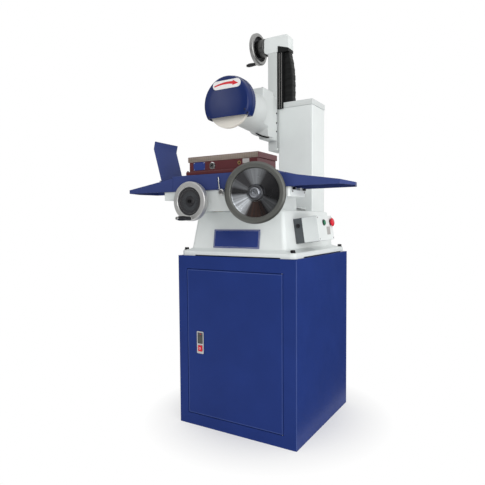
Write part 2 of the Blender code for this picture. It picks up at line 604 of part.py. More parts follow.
def make_guard():
    gx, gz = GUARD_CENTRE
    centre = (gx, 0, gz)
    below = ((-0.3, -0.5, 0.9), (0.3, 0.2, GUARD_CHORD))
    rear = add_piece("guard_rear_shell",
                     facing(turned([(GUARD_R + 0.001, 0.2635), (GUARD_R + 0.001, 0.2845)], 48), (0, -1, 0), centre),
                     BLUE, smooth=35)
    shape(rear, facing(rod(GUARD_R - 0.002, 0.2665, 0.30, 48), (0, -1, 0), centre))
    shape(rear, facing(rod(0.0335, 0.20, 0.30, 32), (0, -1, 0), (0, 0, SPINDLE_Z)))
    shape(rear, slab(*below))
    bend = 0.009
    dome = [(GUARD_R, 0.2848), (GUARD_R, 0.3110 - bend)]
    for i in range(1, 4):
        angle = math.radians(90 * i / 3)
        dome.append((GUARD_R - bend + bend * math.cos(angle), 0.3110 - bend + bend * math.sin(angle)))
    front = add_piece("guard_front_cover", facing(turned(dome, 48), (0, -1, 0), centre), BLUE, smooth=35)
    shape(front, facing(rod(GUARD_R - 0.0025, 0.20, 0.3045, 48), (0, -1, 0), centre))
    low = GUARD_CHORD
    shape(front, slab((-0.3, -0.5, 0.9), (0.3, 0.2, low)))
    return [rear, front]


def make_gear_housing():
    x0, x1, y0, y1 = -0.036, 0.078, 0.052, 0.100
    z0, z1 = SLIDE_Z[1] + GAP, 1.590
    housing = add_piece("gear_housing", soften(slab((x0, y0, z0), (x1, y1, z1)), 0.014, 4, 1), WHITE, smooth=35)
    shape(housing, slab((-0.022, y0 + 0.004, z0 + 0.006), (0.0735, y1 - 0.004, z1 - 0.005)))
    shape(housing, facing(rod(0.0083, -0.03, 0.03), (1, 0, 0), (x0, SCREW_Y, ELEVATE_AXIS.z)))
    shape(housing, facing(rod(0.0085, -0.03, 0.015), (0, 0, 1), (SCREW_X, SCREW_Y, z0)))
    return [housing]


def make_elevating(head_frame):
    out = (-1, 0, 0)
    axis = carrier("elevating_handwheel_axis", ELEVATE_AXIS, head_frame)
    radius = ELEVATE_WHEEL_R
    outer = [(0.0300, -0.0080), (0.0500, -0.0080), (0.0520, -0.0190),
             (radius - 0.003, -0.0200), (radius, -0.0150), (radius, -0.0050),
             (radius - 0.004, 0.0), (0.0520, -0.0020), (0.0180, -0.0050), (0.0140, 0.0)]
    wheel = add_piece("elevating_handwheel", facing(turned(outer, 36, 0.0083), out, ELEVATE_AXIS), STEEL,
                      ELEVATE_AXIS, 35)
    shaft = add_piece("elevating_shaft", facing(turned([(0.0050, -0.1430), (0.0050, -0.1365),
                                                        (0.0080, -0.1365), (0.0080, 0.0015)], 24),
                                                out, ELEVATE_AXIS), STEEL, ELEVATE_AXIS, 35)
    collar = add_piece("elevating_dial", facing(turned([(0.0350, -0.0530), (0.0365, -0.0510),
                                                        (0.0365, -0.0270), (0.0345, -0.0250),
                                                        (0.0345, -0.0085)], 28, 0.0083),
                                                out, ELEVATE_AXIS), STEEL, ELEVATE_AXIS, 35)
    pinion = add_piece("handwheel_bevel_gear", facing(turned([(0.0065, -0.1445), (0.0105, -0.1405),
                                                              (0.0105, -0.1368)], 24, 0.0053),
                                                      out, ELEVATE_AXIS), STEEL, ELEVATE_AXIS, 35)
    for piece in (wheel, shaft, collar, pinion):
        hang(piece, axis)
    reach = 0.0585
    angle = math.radians(-88)
    at = ELEVATE_AXIS + Vector((0, math.cos(angle), math.sin(angle))) * reach
    add_grip("elevating_handle", wheel, at, out, 0.048, 0.0082, axis)
    screw_axis = carrier("elevating_screw_axis", (SCREW_X, SCREW_Y, ELEVATE_AXIS.z), head_frame)
    screw_at = (SCREW_X, SCREW_Y, 0)
    screw = add_piece("elevating_screw", facing(turned([(SCREW_R, 1.000), (SCREW_R, 1.5465),
                                                        (0.0050, 1.5465), (0.0050, 1.5535)], 24),
                                                (0, 0, 1), screw_at), STEEL,
                      (SCREW_X, SCREW_Y, ELEVATE_AXIS.z), 35)
    gear = add_piece("screw_bevel_gear", facing(turned([(0.0105, 1.5468), (0.0105, 1.5505),
                                                        (0.0065, 1.5545)], 24, 0.0053), (0, 0, 1), screw_at),
                     STEEL, (SCREW_X, SCREW_Y, ELEVATE_AXIS.z), 35)
    for piece in (screw, gear):
        hang(piece, screw_axis)


def make_way_cover():
    """Rubber sleeve round the elevating screw, wider at its foot."""
    low, high = COLUMN_TOP + 0.0005, SLIDE_Z[1] - 0.0005
    left, front, back = 0.0435, 0.0615, 0.0980
    levels = 6

    def sleeve(inset, extra):
        sections = []
        for i in range(levels + 1):
            part = i / levels
            right = 0.094 - 0.017 * part ** 1.6 - inset
            z = low + (high - low) * part
            if extra and i in (0, levels):
                z += -0.01 if i == 0 else 0.01
            sections.append((z, round_rect(left + inset, right, front + inset, back - inset, 0.003, 2)))
        return lofted(sections)

    cover = add_piece("way_cover", sleeve(0.0, False), RUBBER, smooth=35)
    shape(cover, sleeve(0.002, True))
    return cover


def main():
    clear_scene()
    make_cabinet()
    make_door()
    make_base()
    make_column()
    make_controls()
    saddle_frame = make_saddle()
    make_cross_feed(saddle_frame)
    make_traverse(saddle_frame)
    make_table(saddle_frame)
    head_frame = make_head()
    make_elevating(head_frame)
    make_way_cover()


main()
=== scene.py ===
"""Finishes, detail and stage for a manual surface grinder.

Laid out as an add-on: each operator makes one piece or one group of like pieces, and main()
calls them in order.  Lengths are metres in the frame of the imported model.
"""
import json
import math

import bmesh
import bpy
from mathutils import Matrix, Vector


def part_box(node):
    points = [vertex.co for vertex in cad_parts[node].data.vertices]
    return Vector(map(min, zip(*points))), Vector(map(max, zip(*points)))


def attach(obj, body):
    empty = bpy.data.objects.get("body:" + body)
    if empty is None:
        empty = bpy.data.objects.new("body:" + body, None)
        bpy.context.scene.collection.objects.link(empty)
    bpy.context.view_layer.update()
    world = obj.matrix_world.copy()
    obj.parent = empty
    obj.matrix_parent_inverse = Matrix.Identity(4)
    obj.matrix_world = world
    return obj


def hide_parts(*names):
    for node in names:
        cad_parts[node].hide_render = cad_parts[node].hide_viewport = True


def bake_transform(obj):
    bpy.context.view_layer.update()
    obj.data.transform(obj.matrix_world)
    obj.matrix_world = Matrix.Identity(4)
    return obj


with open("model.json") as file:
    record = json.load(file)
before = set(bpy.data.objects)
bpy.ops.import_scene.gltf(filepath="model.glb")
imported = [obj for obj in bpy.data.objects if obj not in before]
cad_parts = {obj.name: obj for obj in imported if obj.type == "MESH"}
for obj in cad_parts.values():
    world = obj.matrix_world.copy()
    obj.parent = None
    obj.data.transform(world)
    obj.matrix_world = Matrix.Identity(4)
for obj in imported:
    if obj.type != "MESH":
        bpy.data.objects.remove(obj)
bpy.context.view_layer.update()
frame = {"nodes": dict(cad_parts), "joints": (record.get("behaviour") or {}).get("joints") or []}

bl_info = {
    "name": "Surface Grinder",
    "version": (1, 0, 0),
    "blender": (4, 5, 0),
    "location": "View3D > Sidebar > Grinder",
    "description": "Finishes and fine detail of a manual surface grinder",
    "category": "Object",
}


# ---- sizes and colours a user would change --------------------------------------------------
def colour_setting(name, description, value):
    return bpy.props.FloatVectorProperty(name=name, description=description, default=value, size=3,
                                         subtype="COLOR", min=0.0, max=1.0)


def length_setting(name, description, value):
    return bpy.props.FloatProperty(name=name, description=description, default=value, min=0.0,
                                   unit="LENGTH", precision=4)


class GrinderPaint(bpy.types.PropertyGroup):
    """Colours of the machine's finishes."""
    blue: colour_setting("Blue enamel", "Cabinet, table and wheel guard", (0.015, 0.036, 0.180))
    white: colour_setting("White enamel", "Castings and column", (0.75, 0.785, 0.775))
    maroon: colour_setting("Maroon enamel", "Body of the magnetic chuck", (0.092, 0.015, 0.019))
    steel: colour_setting("Bright steel", "Turned and ground steel", (0.55, 0.55, 0.54))
    iron: colour_setting("Dark iron", "Rim of the traverse handwheel", (0.115, 0.118, 0.110))
    black: colour_setting("Black", "Grips, covers and dial face", (0.018, 0.018, 0.020))
    stone: colour_setting("Abrasive", "The grinding wheel", (0.80, 0.77, 0.70))


class GrinderSizes(bpy.types.PropertyGroup):
    """Sizes of the fine detail."""
    edge: length_setting("Edge", "Rounding of sheet and machined edges", 0.0012)
    cast_voxel: length_setting("Casting grain", "Mesh size of the head casting", 0.0026)
    bolt: length_setting("Bolt head", "Radius of the base's anchor bolts", 0.0085)
    marks: bpy.props.IntProperty(name="Dial marks", description="Graduations round a dial", default=50,
                                 min=10, max=200)


class GrinderStage(bpy.types.PropertyGroup):
    """Floor, lights and camera."""
    floor: colour_setting("Floor", "Colour of the floor", (0.95, 0.95, 0.95))
    key: bpy.props.FloatProperty(name="Key light", description="Power of the large soft light",
                                 default=51.0, min=0.0, unit="POWER")
    sky: bpy.props.FloatProperty(name="Sky", description="Strength of the even light from all round",
                                 default=0.56, min=0.0)
    lens: bpy.props.FloatProperty(name="Lens", description="Focal length of the camera in millimetres",
                                  default=34.44, min=1.0)


def paint():
    return bpy.context.scene.grinder_paint


def sizes():
    return bpy.context.scene.grinder_sizes


def stage_settings():
    return bpy.context.scene.grinder_stage


# ---- shader maths ---------------------------------------------------------------------------
class Wire:
    """One output socket, so that shader maths is written as arithmetic."""

    def __init__(self, shading, socket):
        self.shading = shading
        self.socket = socket

    def maths(self, operation, *others):
        return self.shading.maths(operation, self, *others)

    def __add__(self, other):
        return self.maths("ADD", other)

    def __sub__(self, other):
        return self.maths("SUBTRACT", other)

    def __rsub__(self, other):
        return self.shading.maths("SUBTRACT", other, self)

    def __mul__(self, other):
        return self.maths("MULTIPLY", other)

    def step(self, low, high):
        """0 below low, 1 above high, straight between."""
        return self.shading.node("ShaderNodeMapRange", {"clamp": True},
                                 {"Value": self, "From Min": low, "From Max": high})

    __radd__ = __add__
    __rmul__ = __mul__


class Shading:
    """A node tree, with one method that adds any node."""

    def __init__(self, tree):
        self.tree = tree

    def node(self, kind, settings=None, inputs=None, out=0):
        made = self.tree.nodes.new(kind)
        for key, value in (settings or {}).items():
            setattr(made, key, value)
        for key, value in (inputs or {}).items():
            if isinstance(value, Wire):
                self.tree.links.new(value.socket, made.inputs[key])
            else:
                made.inputs[key].default_value = value
        return Wire(self, made.outputs[out])

    def maths(self, operation, *values):
        return self.node("ShaderNodeMath", {"operation": operation}, dict(enumerate(values)))

    def seen(self):
        """1 for the rays that should meet plain white: camera, mirror and glass rays."""
        camera = self.node("ShaderNodeLightPath", out="Is Camera Ray")
        path = camera.socket.node
        mirror = Wire(self, path.outputs["Is Glossy Ray"])
        glass = Wire(self, path.outputs["Is Transmission Ray"])
        return camera.maths("MAXIMUM", mirror.maths("MAXIMUM", glass))


class Finish(Shading):
    """A Principled material with the patterns that the finishes share."""

    def __init__(self, name, colour, roughness, metallic=0.0, **sockets):
        self.material = bpy.data.materials.new(name)
        self.material.use_nodes = True
        super().__init__(self.material.node_tree)
        self.shader = self.tree.nodes["Principled BSDF"]
        self.shader.inputs["Base Color"].default_value = (*colour, 1.0)
        self.shader.inputs["Roughness"].default_value = roughness
        self.shader.inputs["Metallic"].default_value = metallic
        for socket, value in sockets.items():
            self.shader.inputs[socket.replace("_", " ")].default_value = value
        self.material.diffuse_color = (*colour, 1.0)
        self.place = self.node("ShaderNodeTexCoord", out="Object")

    def feed(self, socket, wire):
        self.tree.links.new(wire.socket, self.shader.inputs[socket])

    def noise(self, scale, detail=3.0, roughness=0.55, vector=None):
        return self.node("ShaderNodeTexNoise", {"noise_dimensions": "3D"},
                         {"Vector": vector or self.place, "Scale": scale, "Detail": detail,
                          "Roughness": roughness}, "Fac")

    def rings(self, along, scale):
        """Fine lines that follow one another along a value."""
        return self.node("ShaderNodeTexNoise", {"noise_dimensions": "1D"},
                         {"W": along, "Scale": scale, "Detail": 2.0}, "Fac")

    def stretched(self, factors):
        return self.node("ShaderNodeVectorMath", {"operation": "MULTIPLY"}, {0: self.place, 1: factors})

    def length(self, vector):
        return self.node("ShaderNodeVectorMath", {"operation": "LENGTH"}, {0: vector}, "Value")

    def axis(self, name):
        return self.node("ShaderNodeSeparateXYZ", None, {0: self.place}, name)

    def mix(self, factor, first, second):
        colours = [value if isinstance(value, Wire) else (*value, 1.0) for value in (first, second)]
        return self.node("ShaderNodeMix", {"data_type": "RGBA"}, {0: factor, 6: colours[0], 7: colours[1]}, 2)

    def bump(self, height, strength, distance):
        self.feed("Normal", self.node("ShaderNodeBump", None,
                                      {"Height": height, "Strength": strength, "Distance": distance}))


def shade(colour, factor):
    return tuple(min(1.0, part * factor) for part in colour)


def dusty(colour, dust):
    return tuple(part + dust for part in colour)


def enamel(name, colour, roughness=0.36, peel=0.25, lumps=0.0, spread=0.06, gloss=0.25):
    """Sprayed enamel: faint mottling, orange peel, and the lumps of the casting under it."""
    made = Finish(name, colour, roughness, Specular_IOR_Level=gloss)
    cloud = made.noise(7.0, 4.0)
    speck = made.noise(260.0, 2.0)
    tone = made.mix(cloud.step(0.3, 0.7), shade(colour, 1.0 - spread), shade(colour, 1.0 + spread))
    dust = made.noise(34.0, 5.0, 0.65).step(0.62, 0.80)
    made.feed("Base Color", made.mix(dust * 0.10, tone, shade(colour, 0.80)))
    made.feed("Roughness", made.noise(16.0, 4.0) * 0.14 + speck * 0.05 + (roughness - 0.09))
    height = made.noise(620.0, 1.0) * 0.35
    if lumps:
        height = height + made.noise(46.0, 2.0) * lumps
    made.bump(height, peel, 0.0006)
    return made.material


def machined(name, colour, roughness=0.30, along=(1.0, 1.0, 1.0), scale=240.0, stain=0.25):
    """Ground or milled metal: fine lines along one direction and faint stains."""
    made = Finish(name, colour, roughness, 1.0)
    lines = made.noise(scale, 3.0, 0.6, made.stretched(along))
    blot = made.noise(22.0, 4.0).step(0.42, 0.75)
    tone = made.mix(lines, shade(colour, 0.84), shade(colour, 1.12))
    made.feed("Base Color", made.mix(blot * stain, tone, shade(colour, 0.62)))
    made.feed("Roughness", lines * 0.16 + blot * 0.10 + (roughness - 0.10))
    made.bump(lines, 0.12, 0.0003)
    return made.material


def turned_metal(name, colour, roughness, rings=1400.0, grain=0.25, metallic=1.0, **sockets):
    """Metal or paint turned on a lathe: rings round the piece's own Z axis."""
    made = Finish(name, colour, roughness, metallic, **sockets)
    radius = made.length(made.stretched((1.0, 1.0, 0.0)))
    groove = made.rings(radius + made.axis("Z") * 0.7, rings)
    blot = made.noise(30.0, 4.0).step(0.45, 0.8)
    tone = made.mix(groove, shade(colour, 0.86), shade(colour, 1.10))
    made.feed("Base Color", made.mix(blot * 0.22, tone, shade(colour, 0.66)))
    made.feed("Roughness", groove * 0.10 + blot * 0.10 + (roughness - 0.07))
    made.bump(groove, grain, 0.0003)
    return made.material


def buffed(name, dark, pale, roughness):
    """A dish buffed by hand, with painted reflection: pale sectors at uneven angles stand for the white
    surroundings mirrored in the metal, with fine strokes between them; lathe rings.
    """
    made = Finish(name, pale, roughness, 0.6, Anisotropic=0.85)
    angle = made.axis("Y").maths("ARCTAN2", made.axis("X"))

    def near(degrees):
        """1 at an angle round the dish, falling to -1 opposite it."""
        return (angle - math.radians(degrees)).maths("COSINE")

    turned = made.node("ShaderNodeCombineXYZ", None, {"X": angle.maths("COSINE"), "Y": angle.maths("SINE")},
                       "Vector")
    strokes = made.noise(9.0, 3.0, 0.7, turned).step(0.32, 0.68)
    sectors = None
    # Pale sectors in the base colour: painted reflections of the bright surroundings.
    for centre, width, level in ((110, 32, 0.21), (235, 34, 1.0), (342, 20, 0.16), (175, 12, 0.12)):
        side = math.cos(math.radians(width))
        lobe = near(centre).step(side, side * 0.15 + 0.85) * level
        sectors = sectors.maths("MAXIMUM", lobe) if sectors else lobe
    rings = made.rings(made.length(made.place), 1800.0)
    blot = made.noise(34.0, 4.0).step(0.50, 0.80)
    tone = made.mix(sectors * (strokes * 0.65 + 0.35) * (1.0 - blot * 0.3), dark, pale)
    warm = near(288).step(0.82, 0.99) * strokes
    made.feed("Base Color", made.mix(warm * 0.5, tone, (0.11, 0.048, 0.030)))
    made.feed("Roughness", rings * 0.08 + blot * 0.12 + (roughness - 0.05))
    made.bump(rings, 0.08, 0.0003)
    return made.material


def moulded(name, colour, roughness=0.5, grain=0.3, scale=900.0, gloss=0.3):
    """Moulded plastic or rubber with a fine grain and handling marks."""
    made = Finish(name, colour, roughness, Specular_IOR_Level=gloss)
    fine = made.noise(scale, 2.0)
    marks = made.noise(40.0, 5.0, 0.7).step(0.5, 0.8)
    pale = dusty(shade(colour, 0.95), 0.006)
    made.feed("Base Color", made.mix(marks * 0.5, colour, pale))
    made.feed("Roughness", fine * 0.10 + marks * 0.12 + (roughness - 0.08))
    made.bump(fine, grain, 0.0003)
    return made.material


def abrasive(name, colour):
    """Bonded grit with open pores."""
    made = Finish(name, colour, 0.9)
    grit = made.noise(1500.0, 2.0, 0.7)
    pores = made.noise(700.0, 3.0).step(0.60, 0.72)
    tone = made.mix(grit, shade(colour, 0.86), shade(colour, 1.10))
    made.feed("Base Color", made.mix(pores * 0.35, tone, shade(colour, 0.55)))
    made.bump(grit - pores * 0.6, 0.5, 0.0006)
    return made.material


def laminated(name, colour, seam):
    """Ground pole plate: steel bars with thin brass between them, lying along Y."""
    made = Finish(name, colour, 0.30, 1.0)
    half_bar = 0.0048
    line = 1.0 - made.axis("X").maths("PINGPONG", half_bar).step(0.0003, 0.0006)
    strokes = made.noise(260.0, 3.0, 0.6, made.stretched((0.08, 1.0, 1.0)))
    tone = made.mix(strokes, shade(colour, 0.85), shade(colour, 1.12))
    made.feed("Base Color", made.mix(line * 0.75, tone, seam))
    made.feed("Roughness", strokes * 0.2 + 0.22)
    made.bump(strokes - line * 0.3, 0.12, 0.0003)
    return made.material


# Each finish by name.  It is made when a piece first asks for it, so it takes the colours then set.
FINISHES = {
    "blue_sheet": lambda: enamel("blue_enamel_on_sheet", paint().blue, 0.42, 0.10, gloss=0.10),
    "blue_guard": lambda: enamel("blue_enamel_on_guard", shade(paint().blue, 0.60), 0.24, 0.18, 0.8,
                                 gloss=0.20),
    "blue_table": lambda: enamel("blue_enamel_on_table", dusty(shade(paint().blue, 0.92), 0.022), 0.46, 0.12,
                                 gloss=0.18),
    # Pale blue strips on rounded sheet edges: painted highlights.
    "painted_edge_highlight": lambda: enamel("blue_painted_edge_highlight", (0.050, 0.085, 0.270), 0.40, 0.10, gloss=0.3),
    "white_cast": lambda: enamel("white_enamel_on_casting", paint().white, 0.38, 0.30, 0.8, 0.035),
    # A darker copy of the white enamel for the head: painted shade; it is also rougher and lumpier.
    "white_head_painted_shade": lambda: enamel("white_enamel_on_head_painted_shade", shade(paint().white, 0.79), 0.42, 0.30, 0.9, 0.05),
    "white_sheet": lambda: enamel("white_enamel_on_sheet", paint().white, 0.36, 0.10, 0.0, 0.03),
    # A darker copy of the white enamel for the column cap: painted shade.
    "white_cap_painted_shade": lambda: enamel("white_enamel_on_cap_painted_shade", shade(paint().white, 0.86), 0.40, 0.10, 0.0, 0.03),
    "maroon": lambda: enamel("maroon_enamel", paint().maroon, 0.32, 0.20, 0.3, 0.12, gloss=0.44),
    "steel": lambda: machined("bright_steel", paint().steel, 0.30, (1.0, 0.15, 1.0)),
    "ground_steel": lambda: machined("ground_way", shade(paint().steel, 0.8), 0.32, (1.0, 0.05, 1.0), 500.0),
    "dark_iron": lambda: machined("dark_machined_iron", paint().iron, 0.42, (1.0, 1.0, 0.2)),
    "pole_plate": lambda: laminated("laminated_pole_plate", (0.52, 0.44, 0.385), (0.36, 0.23, 0.11)),
    "silver_rim": lambda: turned_metal("silver_turned_rim", shade(paint().steel, 1.07), 0.48, 700.0, 0.5,
                                       0.8),
    "silver_small_rim": lambda: turned_metal("silver_turned_small_rim", shade(paint().steel, 0.62), 0.46,
                                             700.0, 0.5),
    "iron_rim": lambda: turned_metal("iron_turned_rim", shade(paint().iron, 1.14), 0.50, 500.0, 0.5, 0.8),
    # The traverse dish, with painted reflections in its colour.
    "buffed_dish_painted_reflection": lambda: buffed("buffed_dish_painted_reflection", (0.024, 0.024, 0.026), (0.90, 0.95, 1.0), 0.24),
    "dark_hub": lambda: turned_metal("dark_hub", (0.245, 0.25, 0.27), 0.30, 1500.0, 0.2),
    "bright_nut": lambda: turned_metal("bright_nut", (0.42, 0.44, 0.48), 0.28, 1500.0, 0.2, 0.9),
    "satin_collar": lambda: turned_metal("satin_collar", shade(paint().steel, 0.20), 0.38, 1800.0, 0.2),
    "black_dial": lambda: turned_metal("black_dial_face", shade(paint().black, 1.7), 0.46, 700.0, 0.6, 0.0,
                                       Specular_IOR_Level=0.25),
    "black_web": lambda: turned_metal("black_web", shade(paint().black, 1.9), 0.42, 700.0, 0.3, 0.0,
                                      Specular_IOR_Level=0.12),
    "black_plastic": lambda: moulded("black_plastic", paint().black, 0.42),
    "grey_plastic": lambda: moulded("dark_grey_plastic", (0.086, 0.095, 0.102), 0.55, 0.5, 500.0, 0.2),
    "black_rubber": lambda: moulded("black_rubber", (0.0060, 0.0068, 0.0068), 0.55, 0.4, 420.0, 0.22),
    "black_oxide": lambda: machined("black_oxide_screw", (0.030, 0.030, 0.032), 0.42),
    "chrome": lambda: machined("chromed_steel", (0.50, 0.50, 0.50), 0.22, (1.0, 1.0, 1.0), 90.0, 0.08),
    "bronze": lambda: machined("bronze", (0.50, 0.33, 0.15), 0.35),
    "winding": lambda: machined("copper_winding", (0.45, 0.20, 0.08), 0.42, (0.1, 1.0, 0.1), 420.0),
    "stone": lambda: abrasive("white_abrasive", paint().stone),
    "green_cap": lambda: moulded("green_plastic", (0.008, 0.17, 0.075), 0.32, 0.1),
    "red_cap": lambda: moulded("red_plastic", (0.62, 0.012, 0.030), 0.28, 0.1),
    "label_blue": lambda: moulded("blue_label", (0.018, 0.040, 0.20), 0.38, 0.1),
    "label_white": lambda: moulded("white_label", (0.78, 0.78, 0.78), 0.38, 0.1),
    "label_red": lambda: moulded("red_print", (0.62, 0.016, 0.028), 0.38, 0.1),
    "label_grey": lambda: moulded("grey_label", (0.40, 0.39, 0.38), 0.45, 0.1),
}
READY = {}


def finish_named(name):
    """One of the machine's finishes, made once on first use."""
    if name not in READY:
        READY[name] = FINISHES[name]()
    return READY[name]


# ---- mesh helpers ---------------------------------------------------------------------------
SHARP = 32  # degrees; sharper edges stay crisp


def rounded(points, radius, steps=5, closed=True):
    """A 2D outline with its corners rounded; radius is one value or one for each corner."""
    result = []
    count = len(points)
    for i, point in enumerate(points):
        r = radius[i] if isinstance(radius, (list, tuple)) else radius
        here = Vector(point)
        if r <= 0 or (not closed and i in (0, count - 1)):
            result.append(tuple(here))
            continue
        before = (Vector(points[i - 1]) - here).normalized()
        after = (Vector(points[(i + 1) % count]) - here).normalized()
        half = before.angle(after) / 2
        if half > math.radians(89):
            result.append(tuple(here))
            continue
        room = min((Vector(points[i - 1]) - here).length, (Vector(points[(i + 1) % count]) - here).length) / 2
        reach = min(r / math.tan(half), room)
        r = reach * math.tan(half)
        centre = here + (before + after).normalized() * (r / math.sin(half))
        start = (here + before * reach) - centre
        sweep = (here + after * reach) - centre
        turn = start.angle_signed(sweep)
        for k in range(steps + 1):
            angle = -turn * k / steps
            c, s = math.cos(angle), math.sin(angle)
            result.append((centre.x + start.x * c - start.y * s, centre.y + start.x * s + start.y * c))
    return result


def rectangle(x0, x1, y0, y1):
    return [(x0, y0), (x1, y0), (x1, y1), (x0, y1)]


def lathe(profile, steps=72, closed=False):
    """A body turned about Z from (radius, height) points; a closed profile makes a ring."""
    bm = bmesh.new()
    rings = []
    for radius, height in profile:
        if radius < 1e-7:
            rings.append([bm.verts.new((0, 0, height))])
            continue
        ring = []
        for i in range(steps):
            angle = 2 * math.pi * i / steps
            ring.append(bm.verts.new((radius * math.cos(angle), radius * math.sin(angle), height)))
        rings.append(ring)
    pairs = list(zip(rings, rings[1:]))
    if closed:
        pairs.append((rings[-1], rings[0]))
    for low, high in pairs:
        for i in range(steps):
            j = (i + 1) % steps
            corners = [low[i % len(low)], low[j % len(low)], high[j % len(high)], high[i % len(high)]]
            corners = list(dict.fromkeys(corners))
            if len(corners) > 2:
                bm.faces.new(corners)
    if not closed:
        for ring in (rings[0], rings[-1]):
            if len(ring) > 1:
                bm.faces.new(ring)
    return bm


def prism(outline, axis, low, high, edge=0.0, steps=2):
    """An outline extruded along an axis, with its two end edges rounded."""
    bm = bmesh.new()
    ends = []
    for level in (low, high):
        ring = []
        for u, v in outline:
            place = [u, v]
            place.insert(axis, level)
            ring.append(bm.verts.new(place))
        ends.append(ring)
    caps = [bm.faces.new(ends[0]), bm.faces.new(list(reversed(ends[1])))]
    count = len(outline)
    for i in range(count):
        j = (i + 1) % count
        bm.faces.new((ends[0][i], ends[0][j], ends[1][j], ends[1][i]))
    if edge:
        rim = list({e for cap in caps for e in cap.edges})
        bmesh.ops.bevel(bm, geom=rim, offset=edge, segments=steps, profile=0.5, affect="EDGES",
                        clamp_overlap=True)
    return bm


def block(low, high, edge=0.001, steps=2):
    """A rectangular block with all its edges rounded."""
    bm = bmesh.new()
    bmesh.ops.create_cube(bm, size=1.0)
    bmesh.ops.scale(bm, verts=bm.verts, vec=Vector(high) - Vector(low))
    bmesh.ops.translate(bm, verts=bm.verts, vec=(Vector(high) + Vector(low)) / 2)
    bmesh.ops.bevel(bm, geom=bm.edges[:], offset=edge, segments=steps, profile=0.5, affect="EDGES")
    return bm


def lofted(levels):
    """A closed body through stacked outlines [(z, points)]."""
    bm = bmesh.new()
    rings = [[bm.verts.new((x, y, z)) for x, y in points] for z, points in levels]
    bm.faces.new(rings[0])
    bm.faces.new(rings[-1])
    for low, high in zip(rings, rings[1:]):
        for i in range(len(low)):
            j = (i + 1) % len(low)
            bm.faces.new((low[i], low[j], high[j], high[i]))
    return bm


def facing(direction):
    """The turn that points +Z in a direction."""
    return Vector((0, 0, 1)).rotation_difference(Vector(direction)).to_matrix().to_4x4()


def aim(at, towards):
    """The placing of a piece whose own +Z points towards a direction."""
    return Matrix.Translation(Vector(at)) @ facing(towards)


def placed(bm, matrix):
    bmesh.ops.transform(bm, verts=bm.verts, matrix=matrix)
    return bm


def moved(bm, at, towards=(0, 0, 1)):
    """Turn a body so that its +Z points towards a direction, and move it."""
    return placed(bm, aim(at, towards))


def joined(*bodies):
    """Several bodies as the separate shells of one mesh."""
    whole = bmesh.new()
    for body in bodies:
        mesh = bpy.data.meshes.new("part")
        body.to_mesh(mesh)
        body.free()
        whole.from_mesh(mesh)
        bpy.data.meshes.remove(mesh)
    return whole


def in_scene(name, bm):
    """A scene object made from a body, with its faces turned outward."""
    bmesh.ops.recalc_face_normals(bm, faces=bm.faces)
    mesh = bpy.data.meshes.new(name)
    bm.to_mesh(mesh)
    bm.free()
    piece = bpy.data.objects.new(name, mesh)
    bpy.context.scene.collection.objects.link(piece)
    return piece


def shade_softly(mesh, angle):
    """Shade a mesh smooth, except over edges sharper than an angle in degrees."""
    mesh.shade_smooth()
    mesh.set_sharp_from_angle(angle=math.radians(angle))


def make(name, bm, body, finish, stands_for=(), smooth=SHARP, matrix=None):
    """A piece that rides on a body; when body is a tuple (first, second, start, end), the piece is left
    unattached with its placing baked into its mesh.
    """
    piece = in_scene(name, bm)
    shade_softly(piece.data, smooth)
    piece.data.materials.append(finish_named(finish))
    if matrix is not None:
        piece.matrix_world = matrix
    flat = piece.modifiers.new("Flat faces stay flat", "WEIGHTED_NORMAL")
    flat.keep_sharp = True
    bpy.context.view_layer.update()
    if isinstance(body, tuple):
        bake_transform(piece)
    else:
        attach(piece, body)
    if stands_for:
        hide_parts(*stands_for)
    return piece


def carve(piece, bm):
    """Cut a body out of a piece, and keep the result as the piece's mesh."""
    cutter = in_scene("cutter", bm)
    mesh = cutter.data
    cutter.matrix_world = piece.matrix_world
    bpy.context.view_layer.update()
    step = piece.modifiers.new("Carve", "BOOLEAN")
    step.operation = "DIFFERENCE"
    step.solver = "EXACT"
    step.object = cutter
    piece.modifiers.move(len(piece.modifiers) - 1, 0)
    with bpy.context.temp_override(object=piece, active_object=piece, selected_objects=[piece]):
        bpy.ops.object.modifier_apply(modifier=step.name)
    shade_softly(piece.data, SHARP)
    bpy.data.objects.remove(cutter, do_unlink=True)
    bpy.data.meshes.remove(mesh)


def dress(node, finish, edge=0.0):
    """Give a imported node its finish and, if asked, rounded edges."""
    piece = frame["nodes"][node]
    piece.data.materials.clear()
    piece.data.materials.append(finish_named(finish))
    if edge:
        weld = piece.modifiers.new("One skin", "WELD")
        weld.merge_threshold = 0.00001
        bevel = piece.modifiers.new("Rounded edges", "BEVEL")
        bevel.width = edge
        bevel.segments = 2
        bevel.limit_method = "ANGLE"
        bevel.angle_limit = math.radians(30)
        bevel.harden_normals = False
        piece.data.shade_smooth()
        flat = piece.modifiers.new("Flat faces stay flat", "WEIGHTED_NORMAL")
        flat.keep_sharp = False
    return piece


def dress_all(finish, *nodes, edge=0.0):
    for node in nodes:
        dress(node, finish, edge)


def turned(points, steps=4, segments=96, ring=True):
    """A body turned from points (radius, height, corner), whose outline is closed if it is a ring."""
    line = [point[:2] for point in points]
    corners = [point[2] if len(point) > 2 else 0.0 for point in points]
    return lathe(rounded(line, corners, steps, ring), segments, ring)


def cap_screw(radius, height):
    """A socket-head screw seen from above, standing on Z = 0."""
    socket, depth = radius * 0.52, height * 0.4
    return turned([(0, 0), (radius, 0), (radius, height, radius * 0.18), (socket, height), (socket, depth),
                   (0, depth)], 3, 24, False)


